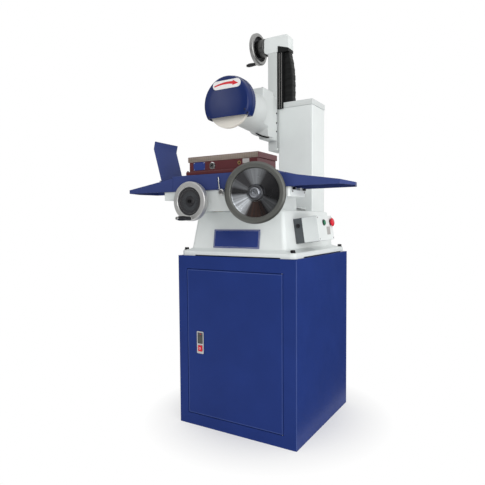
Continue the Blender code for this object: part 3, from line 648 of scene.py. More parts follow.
def pan_screw(radius):
    """A domed screw with a cross recess drawn as four shallow notches."""
    rows, half_slot = 5, radius * 0.18
    profile = [(0, radius * 0.55)]
    for i in range(1, rows + 1):
        angle = math.radians(90 * i / rows)
        profile.append((radius * math.sin(angle), radius * 0.55 * math.cos(angle)))
    bm = lathe(profile, 24)
    for vert in bm.verts:
        if vert.co.xy.length < radius * 0.5 and min(abs(vert.co.x), abs(vert.co.y)) < half_slot:
            vert.co.z -= radius * 0.25
    return bm


def screws(stem, places, towards, body, head, finish="black_oxide"):
    """Like screws whose heads face one way, numbered from 1."""
    for i, place in enumerate(places):
        make("%s_%d" % (stem, i + 1), moved(head(), place, towards), body, finish)


def middle(node):
    low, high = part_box(node)
    return (Vector(low) + Vector(high)) / 2


def low(node):
    return Vector(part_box(node)[0])


def high(node):
    return Vector(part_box(node)[1])


# ---- places shared by several pieces --------------------------------------------------------
JOINTS = {joint["name"]: joint for joint in frame["joints"]}


def joint_place(name):
    return Vector(JOINTS[name]["pos_m"])


LEAN = math.radians(8.1)
SHOULDER = 0.853
CROSS = joint_place("cross_wheel_turn")
TRAVERSE = joint_place("traverse_wheel_turn")
TRAVERSE_OUT = -Vector(JOINTS["traverse_wheel_turn"]["axis"])
ELEVATE = joint_place("elevating_wheel_turn")
OPERATOR = (0.0, -1.0, 0.0)
LEFT = (-1.0, 0.0, 0.0)
RIGHT = (1.0, 0.0, 0.0)
UP = (0.0, 0.0, 1.0)


# ---- cabinet ----------------------------------------------------------------------------------
class GRINDER_OT_cabinet(bpy.types.Operator):
    """Sheet-metal cabinet, its door and the latch"""
    bl_idname = "grinder.cabinet"
    bl_label = "Cabinet"

    def execute(self, context):
        dress("cabinet_shell", "blue_sheet", sizes().edge * 2.0)
        a, b = low("cabinet_shell"), high("cabinet_shell")
        # A pale strip down the front right corner: a painted highlight on the folded corner.
        fold = block((b.x - 0.0024, a.y, 0.004), (b.x, a.y + 0.0024, b.z - 0.003), 0.0010, 3)
        make("cabinet_corner_painted_highlight", fold, "frame", "painted_edge_highlight")
        self.door()
        self.latch()
        return {"FINISHED"}

    def door(self):
        """A pressed pan with a soft front edge, a painted highlight just inside that edge, its pivot pins and
        the hole for the latch's stem.
        """
        a, b = low("cabinet_door"), high("cabinet_door")
        pin_reach, wall, skin = 0.0045, 0.010, 0.0025
        bottom, top, hinge = a.z + pin_reach, b.z - pin_reach, joint_place("door_hinge")
        pan = prism(rounded(rectangle(a.x, b.x, bottom, top), 0.002, 3), 1, a.y, b.y, 0.0022, 4)
        door = make("door_pan", pan, "door", "blue_sheet", ("cabinet_door",))
        carve(door, block((a.x + wall, a.y + skin, bottom + 0.002), (b.x - wall, b.y + 0.01, top - 0.002),
                          0.0004, 1))
        button = middle("latch_button")
        carve(door, moved(lathe([(0.0060, -0.01), (0.0060, 0.02)], 32), (button.x, a.y, button.z), OPERATOR))
        # A pale frame just inside the door's edge: a painted highlight on its rounded edge.
        highlight_inset, inner = 0.0024, 0.0042
        outer = rounded(rectangle(a.x + highlight_inset, b.x - highlight_inset, bottom + highlight_inset, top - highlight_inset), 0.0015, 3)
        line = prism(outer, 1, a.y - 0.0002, a.y + 0.0010)
        line = make("door_edge_painted_highlight", line, "door", "painted_edge_highlight")
        carve(line, block((a.x + inner, a.y - 0.01, bottom + inner), (b.x - inner, a.y + 0.01, top - inner),
                          0.0004, 1))
        pins = []
        for z, up in ((bottom, -1), (top, 1)):
            pin = turned([(0, 0), (0.0024, 0), (0.0024, 0.0043, 0.0006), (0, 0.0043)], 2, 24, False)
            pins.append(moved(pin, (hinge.x, hinge.y, z), (0, 0, up)))
        make("door_pins", joined(*pins), "door", "steel")

    def latch(self):
        """A chromed plate with a paddle in its pocket, and the push button under it."""
        a, b = low("latch_plate"), high("latch_plate")
        c, d = low("latch_button"), high("latch_button")
        face, foot = a.y, a.z + 0.040
        plate = prism(rounded(rectangle(a.x, b.x, a.z, b.z), 0.0035, 4), 1, face, b.y, 0.0010)
        plate = make("latch_plate_frame", plate, "door", "chrome", ("latch_plate",))
        pocket = rounded(rectangle(a.x + 0.0042, b.x - 0.0042, foot, b.z - 0.0050), 0.002, 3)
        carve(plate, prism(pocket, 1, face - 0.002, face + 0.0021))
        gap = 0.0004
        hole = rounded(rectangle(c.x - gap, d.x + gap, c.z - gap, d.z + gap), 0.0015, 3)
        carve(plate, prism(hole, 1, face - 0.002, b.y + 0.002))
        floor = block((a.x + 0.0044, face + 0.0017, foot + 0.0002),
                      (b.x - 0.0044, face + 0.0021, b.z - 0.0052), 0.0001, 1)
        make("latch_pocket", floor, "door", "grey_plastic")
        paddle = block((a.x + 0.0062, face + 0.0003, foot + 0.0025),
                       (b.x - 0.0062, face + 0.0016, b.z - 0.0160), 0.0005)
        make("latch_paddle", paddle, "door", "dark_iron")
        dot = turned([(0, 0), (0.0024, 0), (0.0024, 0.0008, 0.0003), (0, 0.0008)], 2, 20, False)
        make("latch_mark", moved(dot, ((a.x + b.x) / 2, face + 0.0016, b.z - 0.0115), OPERATOR), "door",
             "red_cap")
        push = prism(rounded(rectangle(c.x, d.x, c.z, d.z), 0.0018, 4), 1, c.y, c.y + 0.0040, 0.0012, 3)
        make("latch_push", push, "door_button", "red_cap", ("latch_button",))
        centre = middle("latch_button")
        ring = lathe([(0.0030, 0), (0.0042, 0), (0.0042, 0.0003), (0.0030, 0.0003)], 24, True)
        make("latch_push_ring", moved(ring, (centre.x, c.y, centre.z), OPERATOR), "door_button",
             "label_white")
        stem = lathe([(0.0054, 0.0005), (0.0054, 0.0110)], 20)
        make("latch_push_stem", moved(stem, (centre.x, c.y + 0.0115, centre.z), OPERATOR), "door_button",
             "grey_plastic")


# ---- base -------------------------------------------------------------------------------------
class GRINDER_OT_base(bpy.types.Operator):
    """Base casting with its feet, cross ways, anchor bolts and nameplate"""
    bl_idname = "grinder.base"
    bl_label = "Base"

    def execute(self, context):
        dress("base_casting", "white_cast", 0.0018)
        flange_top, way_top = 0.701, high("base_casting").z
        for side, x in (("left", -0.1425), ("right", 0.1425)):
            way = block((x - 0.0175, -0.217, SHOULDER - 0.001), (x + 0.0175, 0.045, way_top - 0.0001), 0.0008)
            make("base_way_" + side, way, "frame", "white_cast")
        # Black strips under the edges of the casting, where it stands on the cabinet: painted shadow in the
        # gap.
        under = low("base_casting").z
        shadow_strips = (("front", (-0.181, -0.2530), (0.194, -0.2480)), ("right", (0.2440, -0.179), (0.2490, 0.209)),
                 ("left", (-0.2490, -0.179), (-0.2440, 0.209)), ("back", (-0.181, 0.2440), (0.194, 0.2490)))
        for side, first, second in shadow_strips:
            shadow_strip = block((*first, under), (*second, under + 0.0035), 0.0004, 1)
            make("base_gap_painted_shadow_" + side, shadow_strip, "frame", "black_rubber")
        places = [(sx * 0.236, sy * 0.238) for sy in (-1, 1) for sx in (-1, 1)]
        for i, (x, y) in enumerate(places):
            washer = turned([(0.0048, 0, 0.0004), (0.0105, 0, 0.0004), (0.0105, 0.0018, 0.0004),
                             (0.0048, 0.0018, 0.0004)], 2, 32)
            head = cap_screw(sizes().bolt, 0.0085)
            for name, piece, gap in (("anchor_washer", washer, 0.0002), ("anchor_bolt", head, 0.0020)):
                make("%s_%d" % (name, i + 1), moved(piece, (x, y, flange_top + gap)), "frame", "black_oxide")
        self.nameplate()
        return {"FINISHED"}

    def nameplate(self):
        """A bare plate with two thin borders, lying on the sloping front of the casting."""
        height, front_at_shoulder = 0.748, -0.222
        front = front_at_shoulder - (SHOULDER - height) * math.tan(LEAN)
        lean = Matrix.Translation((0.0, front - 0.0006, height)) @ Matrix.Rotation(-LEAN, 4, "X")
        half_wide, half_high = 0.103, 0.0365
        outline = rounded(rectangle(-half_wide, half_wide, -half_high, half_high), 0.0015, 3)
        plate = prism(outline, 1, -0.0017, -0.0001, 0.0003)
        make("nameplate_plate", placed(plate, lean), "frame", "label_blue", ("nameplate",))
        for name, inset, wide in (("outer", 0.0004, 0.0009), ("inner", 0.0050, 0.0006)):
            x, z = half_wide - inset, half_high - inset
            strips = [block((u0, -0.0020, v0), (u1, -0.0016, v1), 0.0001, 1) for u0, v0, u1, v1 in (
                (-x, -z, x, wide - z), (-x, z - wide, x, z), (-x, wide - z, wide - x, z - wide),
                (x - wide, wide - z, x, z - wide))]
            make("nameplate_border_" + name, placed(joined(*strips), lean), "frame", "label_white")


# ---- column -----------------------------------------------------------------------------------
class GRINDER_OT_column(bpy.types.Operator):
    """Column box, its cap and the two screws beside it"""
    bl_idname = "grinder.column"
    bl_label = "Column"

    def execute(self, context):
        dress("column", "white_sheet", 0.0025)
        dress("column_cap", "white_cap_painted_shade", 0.0012)
        for name, z in (("upper", 1.262), ("lower", 1.192)):
            make("gib_screw_" + name, moved(cap_screw(0.0048, 0.0035), (0.0185, 0.0516, z), OPERATOR), "head",
                 "black_oxide")
        return {"FINISHED"}


# ---- switch box -------------------------------------------------------------------------------
class GRINDER_OT_switches(bpy.types.Operator):
    """Switch box with its start and stop buttons"""
    bl_idname = "grinder.switches"
    bl_label = "Switch box"

    def execute(self, context):
        dress("control_box_back", "grey_plastic", 0.0008)
        dress("control_box_cover", "white_sheet", 0.0010)
        dress("start_button", "green_cap")
        dress("stop_button", "red_cap")
        box = Matrix.Translation((0.2014, -0.075, 0.775)) @ Matrix.Rotation(-LEAN, 4, "Y")
        cover, row, start_y, stop_y = 0.0940, 0.020, -0.015, 0.055
        start = turned([(0, 0), (0.0072, 0), (0.0072, 0.0036), (0.0092, 0.0036, 0.0005),
                        (0.0092, 0.0062, 0.0012), (0, 0.0068)], 3, 40, False)
        make("start_cap", placed(moved(start, (cover, start_y, row), RIGHT), box), "start", "green_cap",
             ("start_button",))
        stop = turned([(0, 0), (0.0072, 0), (0.0072, 0.0046), (0.0115, 0.0046, 0.001),
                       (0.0162, 0.0070, 0.0012), (0.0162, 0.0090, 0.0022), (0.0110, 0.0128, 0.003),
                       (0, 0.0135)], 4, 48, False)
        make("stop_cap", placed(moved(stop, (cover, stop_y, row), RIGHT), box), "stop", "red_cap",
             ("stop_button",))
        start_ring = turned([(0.0094, 0, 0.0005), (0.0116, 0, 0.0005), (0.0116, 0.0030, 0.0005),
                             (0.0094, 0.0034, 0.0005)], 2, 40)
        stop_ring = turned([(0.0075, 0, 0.0001), (0.0124, 0, 0.0001), (0.0124, 0.0005, 0.0001),
                            (0.0075, 0.0005, 0.0001)], 1, 40)
        for name, y, ring in (("start", start_y, start_ring), ("stop", stop_y, stop_ring)):
            make(name + "_bezel", placed(moved(ring, (cover + 0.0001, y, row), RIGHT), box), "frame",
                 "black_plastic")
        tag = prism(rounded(rectangle(0.008, 0.042, -0.026, 0.004), 0.0010, 2), 0, cover + 0.0001,
                    cover + 0.0004)
        make("switch_label", placed(tag, box), "frame", "label_grey")
        for i, (y, z) in enumerate((y, z) for y in (-0.068, 0.068) for z in (-0.039, 0.039)):
            make("box_screw_%d" % (i + 1), placed(moved(pan_screw(0.0030), (cover, y, z), RIGHT), box),
                 "frame", "chrome")
        plug = turned([(0, 0), (0.0085, 0), (0.0085, 0.0030, 0.0006), (0.0062, 0.0030, 0.0004),
                       (0.0062, 0.0008), (0, 0.0008)], 2, 32, False)
        make("box_blank_plug", placed(moved(plug, (0.0170, -0.0750, 0.018), OPERATOR), box), "frame",
             "black_plastic")
        return {"FINISHED"}


# ---- saddle -----------------------------------------------------------------------------------
class GRINDER_OT_saddle(bpy.types.Operator):
    """Saddle with its bearings and the table lock lever"""
    bl_idname = "grinder.saddle"
    bl_label = "Saddle"

    def execute(self, context):
        dress("saddle", "white_cast", 0.0015)
        dress_all("white_cast", "cross_feed_bearing", "traverse_bearing", edge=0.0010)
        pivot = joint_place("lock_lever_turn")
        hub = turned([(0, 0.0), (0.0062, 0), (0.0062, 0.0085), (0.0112, 0.0100, 0.0012),
                      (0.0112, 0.0210, 0.0015), (0.0080, 0.0245, 0.0012), (0, 0.0245)], 3, 40, False)
        rod = turned([(0, 0), (0.0025, 0), (0.0024, 0.046), (0.0027, 0.056, 0.002), (0, 0.056)], 3, 20, False)
        lever = joined(moved(hub, pivot, OPERATOR),
                       moved(rod, pivot + Vector((-0.0095, -0.0155, -0.002)), (-0.10, 0, 1)))
        make("lock_lever", lever, "lock_lever", "steel", ("table_lock_lever",))
        end, wiper_top = 0.2722, 0.9184
        screws("saddle_wiper_screw", ((end, -0.318, 0.9130), (end, -0.222, 0.9130)), RIGHT, "saddle",
               lambda: cap_screw(0.0034, 0.0026), "chrome")
        outline = rounded(rectangle(-0.327, -0.213, 0.9010, wiper_top), 0.003, 3)
        wiper = prism(outline, 0, end - 0.002, end, 0.0005)
        make("saddle_wiper", wiper, "saddle", "white_cast")
        for i, y in enumerate((-0.3110, -0.2290)):
            dog = block((end + 0.0003, y - 0.0058, wiper_top + 0.0001), (0.2800, y + 0.0058, 0.9262), 0.0012)
            make("saddle_stop_%d" % (i + 1), dog, "saddle", "black_oxide")
        return {"FINISHED"}


# ---- handwheels -------------------------------------------------------------------------------
def spun(bm, turns):
    """A body turned about Z by a part of a full turn."""
    return placed(bm, Matrix.Rotation(2 * math.pi * turns, 4, "Z"))


def dial_marks(radius, count, length, wide, flat):
    """Short lines round a dial: on its flat face, or along its rim."""
    strips = []
    for i in range(count):
        reach = length * (1.0 if i % 5 == 0 else 0.6)
        if flat:
            mark = block((radius - reach, -wide / 2, 0), (radius, wide / 2, 0.0002), 0.00002, 1)
        else:
            mark = block((radius - 0.0001, -wide / 2, 0), (radius + 0.0001, wide / 2, reach), 0.00002, 1)
        strips.append(spun(mark, i / count))
    return joined(*strips)


def add_handle(stem, foot, out, length, radius):
    """A fixed spindle with a collar at its foot, and the revolving grip on it."""
    place = aim(foot, out)
    bore, wheel = 0.0041, stem + "_wheel"
    pin = turned([(0.0038, -0.0030), (0.0038, length), (0.0060, length), (0.0060, length + 0.0030, 0.0012),
                  (0, length + 0.0030)], 3, 28, False)
    make(stem + "_handle_pin", pin, wheel, "steel", matrix=place)
    collar = turned([(bore, 0.0001, 0.0004), (radius * 0.82, 0.0001, 0.0004), (radius * 0.82, 0.0026, 0.0004),
                     (bore, 0.0026, 0.0004)], 2, 32)
    make(stem + "_handle_collar", collar, wheel, "steel", matrix=place)
    sleeve = turned([(bore, 0.0030), (radius * 0.80, 0.0030, 0.0015), (radius * 0.84, 0.0120, 0.02),
                     (radius, length * 0.62, 0.03), (radius * 0.95, length * 0.86, 0.02),
                     (radius * 0.62, length - 0.0005, 0.004), (bore, length - 0.0005)], 5, 40)
    make(stem + "_handle_sleeve", sleeve, stem + "_grip", "black_plastic",
         (stem + "_handle_grip",), matrix=place)


class GRINDER_OT_cross_feed(bpy.types.Operator):
    """Cross-feed handwheel with its dial face and grip"""
    bl_idname = "grinder.cross_feed"
    bl_label = "Cross feed"

    def execute(self, context):
        place = aim(CROSS, OPERATOR)
        rim = turned([(0.0515, -0.0020, 0.0008), (0.0530, 0.0, 0.001), (0.0690, 0.0, 0.002),
                      (0.0715, -0.0030, 0.002), (0.0715, -0.0220, 0.004), (0.0670, -0.0270, 0.004),
                      (0.0500, -0.0270, 0.002), (0.0480, -0.0200, 0.002), (0.0210, -0.0200, 0.002),
                      (0.0200, -0.0278, 0.001), (0.0083, -0.0278), (0.0083, -0.0160),
                      (0.0515, -0.0160, 0.001)])
        make("cross_wheel_rim", rim, "cross_wheel", "silver_rim", ("cross_handwheel",),
             matrix=place)
        face = turned([(0.0083, -0.0155), (0.0508, -0.0155), (0.0508, -0.0040, 0.0008),
                       (0.0480, -0.0030, 0.0008), (0.0455, -0.0058, 0.001), (0.0400, -0.0064, 0.0008),
                       (0.0380, -0.0078, 0.0008), (0.0180, -0.0092, 0.001), (0.0150, -0.0052, 0.001),
                       (0.0083, -0.0052)], 3)
        make("cross_dial", face, "cross_wheel", "black_dial", ("cross_dial_face",),
             matrix=place)
        marks = moved(dial_marks(0.0452, 60, 0.0042, 0.0003, True), (0, 0, -0.00595))
        make("cross_dial_marks", marks, "cross_wheel", "label_grey", matrix=place)
        count = 36
        ribs = [spun(block((0.0205, -0.0007, -0.0092), (0.0365, 0.0007, -0.0077), 0.0003, 1), i / count)
                for i in range(count)]
        make("cross_dial_ribs", joined(*ribs), "cross_wheel", "grey_plastic", matrix=place)
        nut = turned([(0, 0), (0.0078, 0), (0.0078, 0.0030, 0.0008), (0.0040, 0.0040, 0.0004),
                      (0.0034, 0.0016, 0.0003), (0, 0.0016)], 3, 36, False)
        make("cross_centre_nut", moved(nut, (0, 0, -0.0050)), "cross_wheel", "black_oxide",
             matrix=place)
        add_handle("cross", joint_place("cross_grip_spin"), OPERATOR, 0.074, 0.0085)
        dress("cross_feed_screw", "steel")
        dress("cross_feed_nut", "bronze")
        return {"FINISHED"}


class GRINDER_OT_traverse(bpy.types.Operator):
    """Table traverse handwheel: iron rim, buffed dish with painted reflections, and hub"""
    bl_idname = "grinder.traverse"
    bl_label = "Table traverse"

    def execute(self, context):
        place = aim(TRAVERSE, TRAVERSE_OUT)
        rim = turned([(0.0802, -0.0100, 0.0005), (0.0812, -0.0030, 0.001), (0.0840, -0.0006, 0.0015),
                      (0.0950, 0.0, 0.004), (0.1020, -0.0055, 0.005), (0.1020, -0.0180, 0.005),
                      (0.0960, -0.0230, 0.004), (0.0830, -0.0230, 0.002), (0.0802, -0.0200, 0.001)], 5, 128)
        make("traverse_rim", rim, "traverse_wheel", "iron_rim", ("traverse_handwheel",),
             matrix=place)
        dish = turned([(0.0801, -0.0105), (0.0775, -0.0112, 0.001), (0.0275, -0.0218), (0.0275, -0.0252),
                       (0.0800, -0.0160)], 4, 128)
        make("traverse_dish", dish, "traverse_wheel", "buffed_dish_painted_reflection", matrix=place)
        hub = turned([(0.0094, -0.0340), (0.0270, -0.0340, 0.001), (0.0270, -0.0240, 0.001),
                      (0.0258, -0.0105, 0.0015), (0.0240, -0.0078, 0.001), (0.0094, -0.0078)])
        make("traverse_hub", hub, "traverse_wheel", "dark_hub", matrix=place)
        nut = turned([(0, -0.0072), (0.0150, -0.0072, 0.0005), (0.0168, -0.0058, 0.001),
                      (0.0168, 0.0024, 0.0018), (0.0140, 0.0052, 0.001), (0.0050, 0.0058, 0.0005),
                      (0.0046, 0.0040), (0, 0.0040)], 4, 64, False)
        make("traverse_nut", nut, "traverse_wheel", "bright_nut", ("traverse_hub_nut",),
             matrix=place)
        dress_all("steel", "traverse_shaft", "rack_pinion")
        return {"FINISHED"}


class GRINDER_OT_elevating(bpy.types.Operator):
    """Elevating handwheel, its collar, gear housing and screw"""
    bl_idname = "grinder.elevating"
    bl_label = "Elevating gear"

    def execute(self, context):
        dress("gear_housing", "white_cast", 0.0030)
        place = aim(ELEVATE, LEFT)
        rim = turned([(0.0520, -0.0020, 0.001), (0.0590, 0.0, 0.002), (0.0665, -0.0035, 0.003),
                      (0.0665, -0.0165, 0.003), (0.0620, -0.0200, 0.002), (0.0520, -0.0195, 0.001),
                      (0.0505, -0.0090, 0.001), (0.0500, -0.0050, 0.001)])
        make("elevating_rim", rim, "elevating_wheel", "silver_small_rim",
             ("elevating_handwheel",), matrix=place)
        web = turned([(0.0084, -0.0080), (0.0504, -0.0080, 0.0004), (0.0504, -0.0030, 0.0008),
                      (0.0180, -0.0052, 0.002), (0.0140, -0.0008, 0.001), (0.0084, -0.0008)])
        make("elevating_web", web, "elevating_wheel", "black_web", matrix=place)
        dial = 0.0365
        collar = turned([(0.0084, -0.0530), (0.0350, -0.0530, 0.001), (dial, -0.0510, 0.0008),
                         (dial, -0.0275, 0.0008), (0.0345, -0.0250, 0.0008), (0.0345, -0.0088, 0.0008),
                         (0.0084, -0.0088)], 3)
        make("elevating_collar", collar, "elevating_wheel", "satin_collar",
             ("elevating_dial",), matrix=place)
        marks = moved(dial_marks(dial, sizes().marks, 0.0085, 0.0003, False), (0, 0, -0.0500))
        make("elevating_marks", marks, "elevating_wheel", "black_oxide", matrix=place)
        add_handle("elevating", joint_place("elevating_grip_spin"), LEFT, 0.048, 0.0082)
        dress_all("steel", "elevating_shaft", "handwheel_bevel_gear", "elevating_screw", "screw_bevel_gear")
        dress("elevating_nut", "bronze")
        return {"FINISHED"}


# ---- table and chuck --------------------------------------------------------------------------
class GRINDER_OT_table(bpy.types.Operator):
    """Table, its two wings, rack and splash plate"""
    bl_idname = "grinder.table"
    bl_label = "Table"

    def execute(self, context):
        dress_all("blue_table", "table", "left_wing", "right_wing", edge=0.0012)
        dress("splash_plate", "blue_table", 0.0006)
        dress("table_rack", "dark_iron", 0.0005)
        return {"FINISHED"}


class GRINDER_OT_chuck(bpy.types.Operator):
    """Magnetic chuck with its pole plate, key socket and labels"""
    bl_idname = "grinder.chuck"
    bl_label = "Magnetic chuck"

    def execute(self, context):
        dress("chuck_base", "maroon", 0.0012)
        dress("chuck_body", "maroon", 0.0010)
        dress("chuck_key_socket", "chrome")
        a, b = low("chuck_top_plate"), high("chuck_top_plate")
        make("pole_plate", block(a, b, 0.0008), "table", "pole_plate", ("chuck_top_plate",))
        proud = 0.0002
        for name, x0 in (("left", a.x - 0.0009), ("right", b.x - 0.0003)):
            end = block((x0, a.y - proud, a.z - proud), (x0 + 0.0012, b.y + proud, b.z + 0.0001), 0.0004)
            make("pole_plate_end_" + name, end, "table", "maroon")
        lip = block((a.x + 0.0003, a.y - 0.0004, b.z - 0.0016), (b.x - 0.0003, a.y + 0.001, b.z - 0.0001),
                    0.0003)
        make("pole_plate_lip", lip, "table", "maroon")
        face = low("chuck_body").y
        key = middle("chuck_key_socket")
        ring = turned([(0.0102, 0, 0.0004), (0.0128, 0, 0.0004), (0.0128, 0.0014, 0.0004),
                       (0.0102, 0.0018, 0.0004)], 2, 40)
        make("key_escutcheon", moved(ring, (key.x, face, key.z), OPERATOR), "table", "chrome")
        vent, bore, wide = (0.073, face, 1.0195), 0.0030, 0.0068
        ring = turned([(bore, 0, 0.0003), (wide, 0, 0.0003), (wide, 0.0012, 0.0003), (bore, 0.0012, 0.0003)],
                      2, 32)
        make("chuck_vent_ring", moved(ring, vent, OPERATOR), "table", "bronze")
        hole = lathe([(bore, 0.0), (bore, 0.0003)], 24)
        make("chuck_vent", moved(hole, vent, OPERATOR), "table", "black_oxide")
        for name, x0, x1, z0, finish, slot in (
                ("chuck_label", -0.127, -0.075, 1.0032, "label_blue", "blue_enamel"),
                ("chuck_tag", 0.087, 0.114, 1.0165, "label_grey", "white_enamel")):
            plate = prism(rounded(rectangle(x0, x1, z0, 1.0325), 0.0006, 2), 1, face - 0.0008, face - 0.0001)
            make(name, plate, "table", finish)
        corners = [(x, face - 0.0008, z) for x in (-0.1235, -0.0785) for z in (1.0060, 1.0298)]
        screws("chuck_label_screw", corners, OPERATOR, "table", lambda: pan_screw(0.0020), "chrome")
        top = high("chuck_base").z
        corners = [(x, y, top) for y in (-0.3325, -0.1895) for x in (-0.1515, 0.1515)]
        screws("chuck_clamp_screw", corners, UP, "table", lambda: cap_screw(0.0036, 0.0036))
        return {"FINISHED"}


# ---- wheelhead --------------------------------------------------------------------------------
def cast_skin(node, finish, voxel, times):
    """Melt a packed casting's separate forms into one skin with soft inner and outer corners."""
    piece = dress(node, finish)
    skin = piece.modifiers.new("One casting", "REMESH")
    skin.mode = "VOXEL"
    skin.voxel_size = voxel
    skin.use_smooth_shade = True
    soft = piece.modifiers.new("Soft corners", "SMOOTH")
    soft.factor = 0.5
    soft.iterations = times
    return piece


class GRINDER_OT_head(bpy.types.Operator):
    """Wheelhead: slide, casting, motor and bearings"""
    bl_idname = "grinder.head"
    bl_label = "Wheelhead"

    def execute(self, context):
        cast_skin("head_casting", "white_head_painted_shade", sizes().cast_voxel, 6)
        dress("head_slide", "white_head_painted_shade", 0.0015)
        dress("slide_way", "ground_steel", 0.0005)
        dress("way_strip", "black_rubber", 0.0005)
        dress("motor_stator", "winding")
        dress("motor_rotor", "dark_iron")
        dress_all("steel", "front_bearing", "rear_bearing", edge=0.0006)
        dress("spindle_shaft", "steel")
        # A black crescent along the lower edge of the neck's flange.
        under_neck = [(-0.012, 1.1830), (-0.001, 1.1700), (0.020, 1.1583), (0.0430, 1.1512), (0.0505, 1.1512),
                      (0.0505, 1.1470), (0.0420, 1.1462), (0.0190, 1.1530), (-0.004, 1.1650),
                      (-0.016, 1.1800)]
        make("head_neck_crescent", prism(under_neck, 1, -0.0738, -0.0640, 0.0008, 2), "head", "black_rubber")
        cover_top = 1.3356
        cover = block((-0.0526, -0.1156, 1.3010), (0.0526, -0.0296, cover_top), 0.0045, 4)
        make("head_top_cover", cover, "head", "white_head_painted_shade")
        corners = [(x, y, cover_top - 0.0002) for y in (-0.106, -0.039) for x in (-0.043, 0.043)]
        screws("head_cover_screw", corners, UP, "head", lambda: cap_screw(0.0034, 0.0022))
        gib = block((0.0256, 0.0535, 1.125), (0.0258, 0.0575, 1.286), 0.00005, 1)
        make("gib_line", gib, "head", "grey_plastic")
        screws("gib_screw", [(0.0254, 0.0450, z) for z in (1.268, 1.228, 1.192)], RIGHT, "head",
               lambda: cap_screw(0.0034, 0.0022))
        a, b = low("way_strip"), high("way_strip")
        for i, x in enumerate((0.0355, 0.0455)):
            line = block((x - 0.0006, a.y - 0.0004, a.z + 0.002), (x + 0.0006, a.y + 0.0002, b.z - 0.002),
                         0.0001, 1)
            make("way_strip_line_%d" % (i + 1), line, "head", "label_grey")
        return {"FINISHED"}


class GRINDER_OT_guard(bpy.types.Operator):
    """Wheel guard: rear shell, domed cover, its tabs and the direction label"""
    bl_idname = "grinder.guard"
    bl_label = "Wheel guard"

    def execute(self, context):
        dress("guard_rear_shell", "blue_guard", 0.0008)
        centre_x, centre_z, radius = 0.003, 1.2405, 0.0995
        back, front = high("guard_front_cover").y, low("guard_front_cover").y
        chord = low("guard_front_cover").z
        depth = back - front
        skin = turned([(0, depth), (0.040, depth - 0.0004, 0.25), (0.070, depth - 0.0014, 0.25),
                       (radius - 0.0045, depth - 0.0034, 0.0095), (radius, 0.0, 0.0003),
                       (radius - 0.0022, 0.0, 0.0003), (radius - 0.0060, depth - 0.0062, 0.0065),
                       (0, depth - 0.0026)], 8, 160, False)
        place = Matrix.Translation((centre_x, back, centre_z)) @ Matrix.Rotation(math.radians(90), 4, "X")
        cover = make("guard_cover", placed(skin, place), "head", "blue_guard",
                     ("guard_front_cover",))
        carve(cover, block((-0.2, front - 0.05, 1.0), (0.2, back + 0.05, chord), 0.0005, 1))
        face = front - 0.0004
        tabs = ((0.086, 0.0, 1.2065), (0.0935, 0.0060, 1.1945), (-0.067, 0.0, 1.1945))
        for i, (x, y, z) in enumerate(tabs):
            outline = rounded(rectangle(x - 0.0050, x + 0.0050, z - 0.0045, z + 0.0045), 0.0020, 3)
            tab = prism(outline, 1, face + y, face + y + 0.0052, 0.0004)
            make("guard_tab_%d" % (i + 1), tab, "head", "blue_guard")
            make("guard_screw_%d" % (i + 1), moved(pan_screw(0.0028), (x, face + y, z), OPERATOR), "head",
                 "black_oxide")
        self.label(front)
        return {"FINISHED"}

    def label(self, front):
        """A bare pill label with a curved arrow for the wheel's direction."""
        x, z, half_long, half_high, proud = 0.010, 1.3035, 0.0585, 0.0150, 0.0008
        outline = rounded(rectangle(x - half_long, x + half_long, z - half_high, z + half_high), 0.0149, 12)
        pill = prism(outline, 1, front - proud, front + 0.0024, 0.0002, 1)
        make("guard_label", pill, "head", "label_white")
        radius, first, sweep, count = 0.200, -14.8, 22.5, 16

        def on_arc(degrees, out):
            angle = math.radians(90 - degrees)
            return x + (radius + out) * math.cos(angle), z - 0.196 + (radius + out) * math.sin(angle)

        top, bottom = [], []
        for k in range(count + 1):
            t = k / count
            half = 0.0022 + 0.0024 * t
            top.append(on_arc(first + sweep * t, half))
            bottom.append(on_arc(first + sweep * t, -half))
        point = [on_arc(7.9, 0.0088), on_arc(14.6, 0.0), on_arc(7.9, -0.0088)]
        arrow = prism(top + point + bottom[::-1], 1, front - proud - 0.0004, front - proud)
        make("guard_arrow", arrow, "head", "label_red")


class GRINDER_OT_wheel(bpy.types.Operator):
    """Grinding wheel, its flanges and nut"""
    bl_idname = "grinder.wheel"
    bl_label = "Grinding wheel"

    def execute(self, context):
        dress("grinding_wheel", "stone", 0.0008)
        dress_all("steel", "inner_flange", "outer_flange", edge=0.0006)
        dress("wheel_nut", "black_oxide", 0.0006)
        return {"FINISHED"}


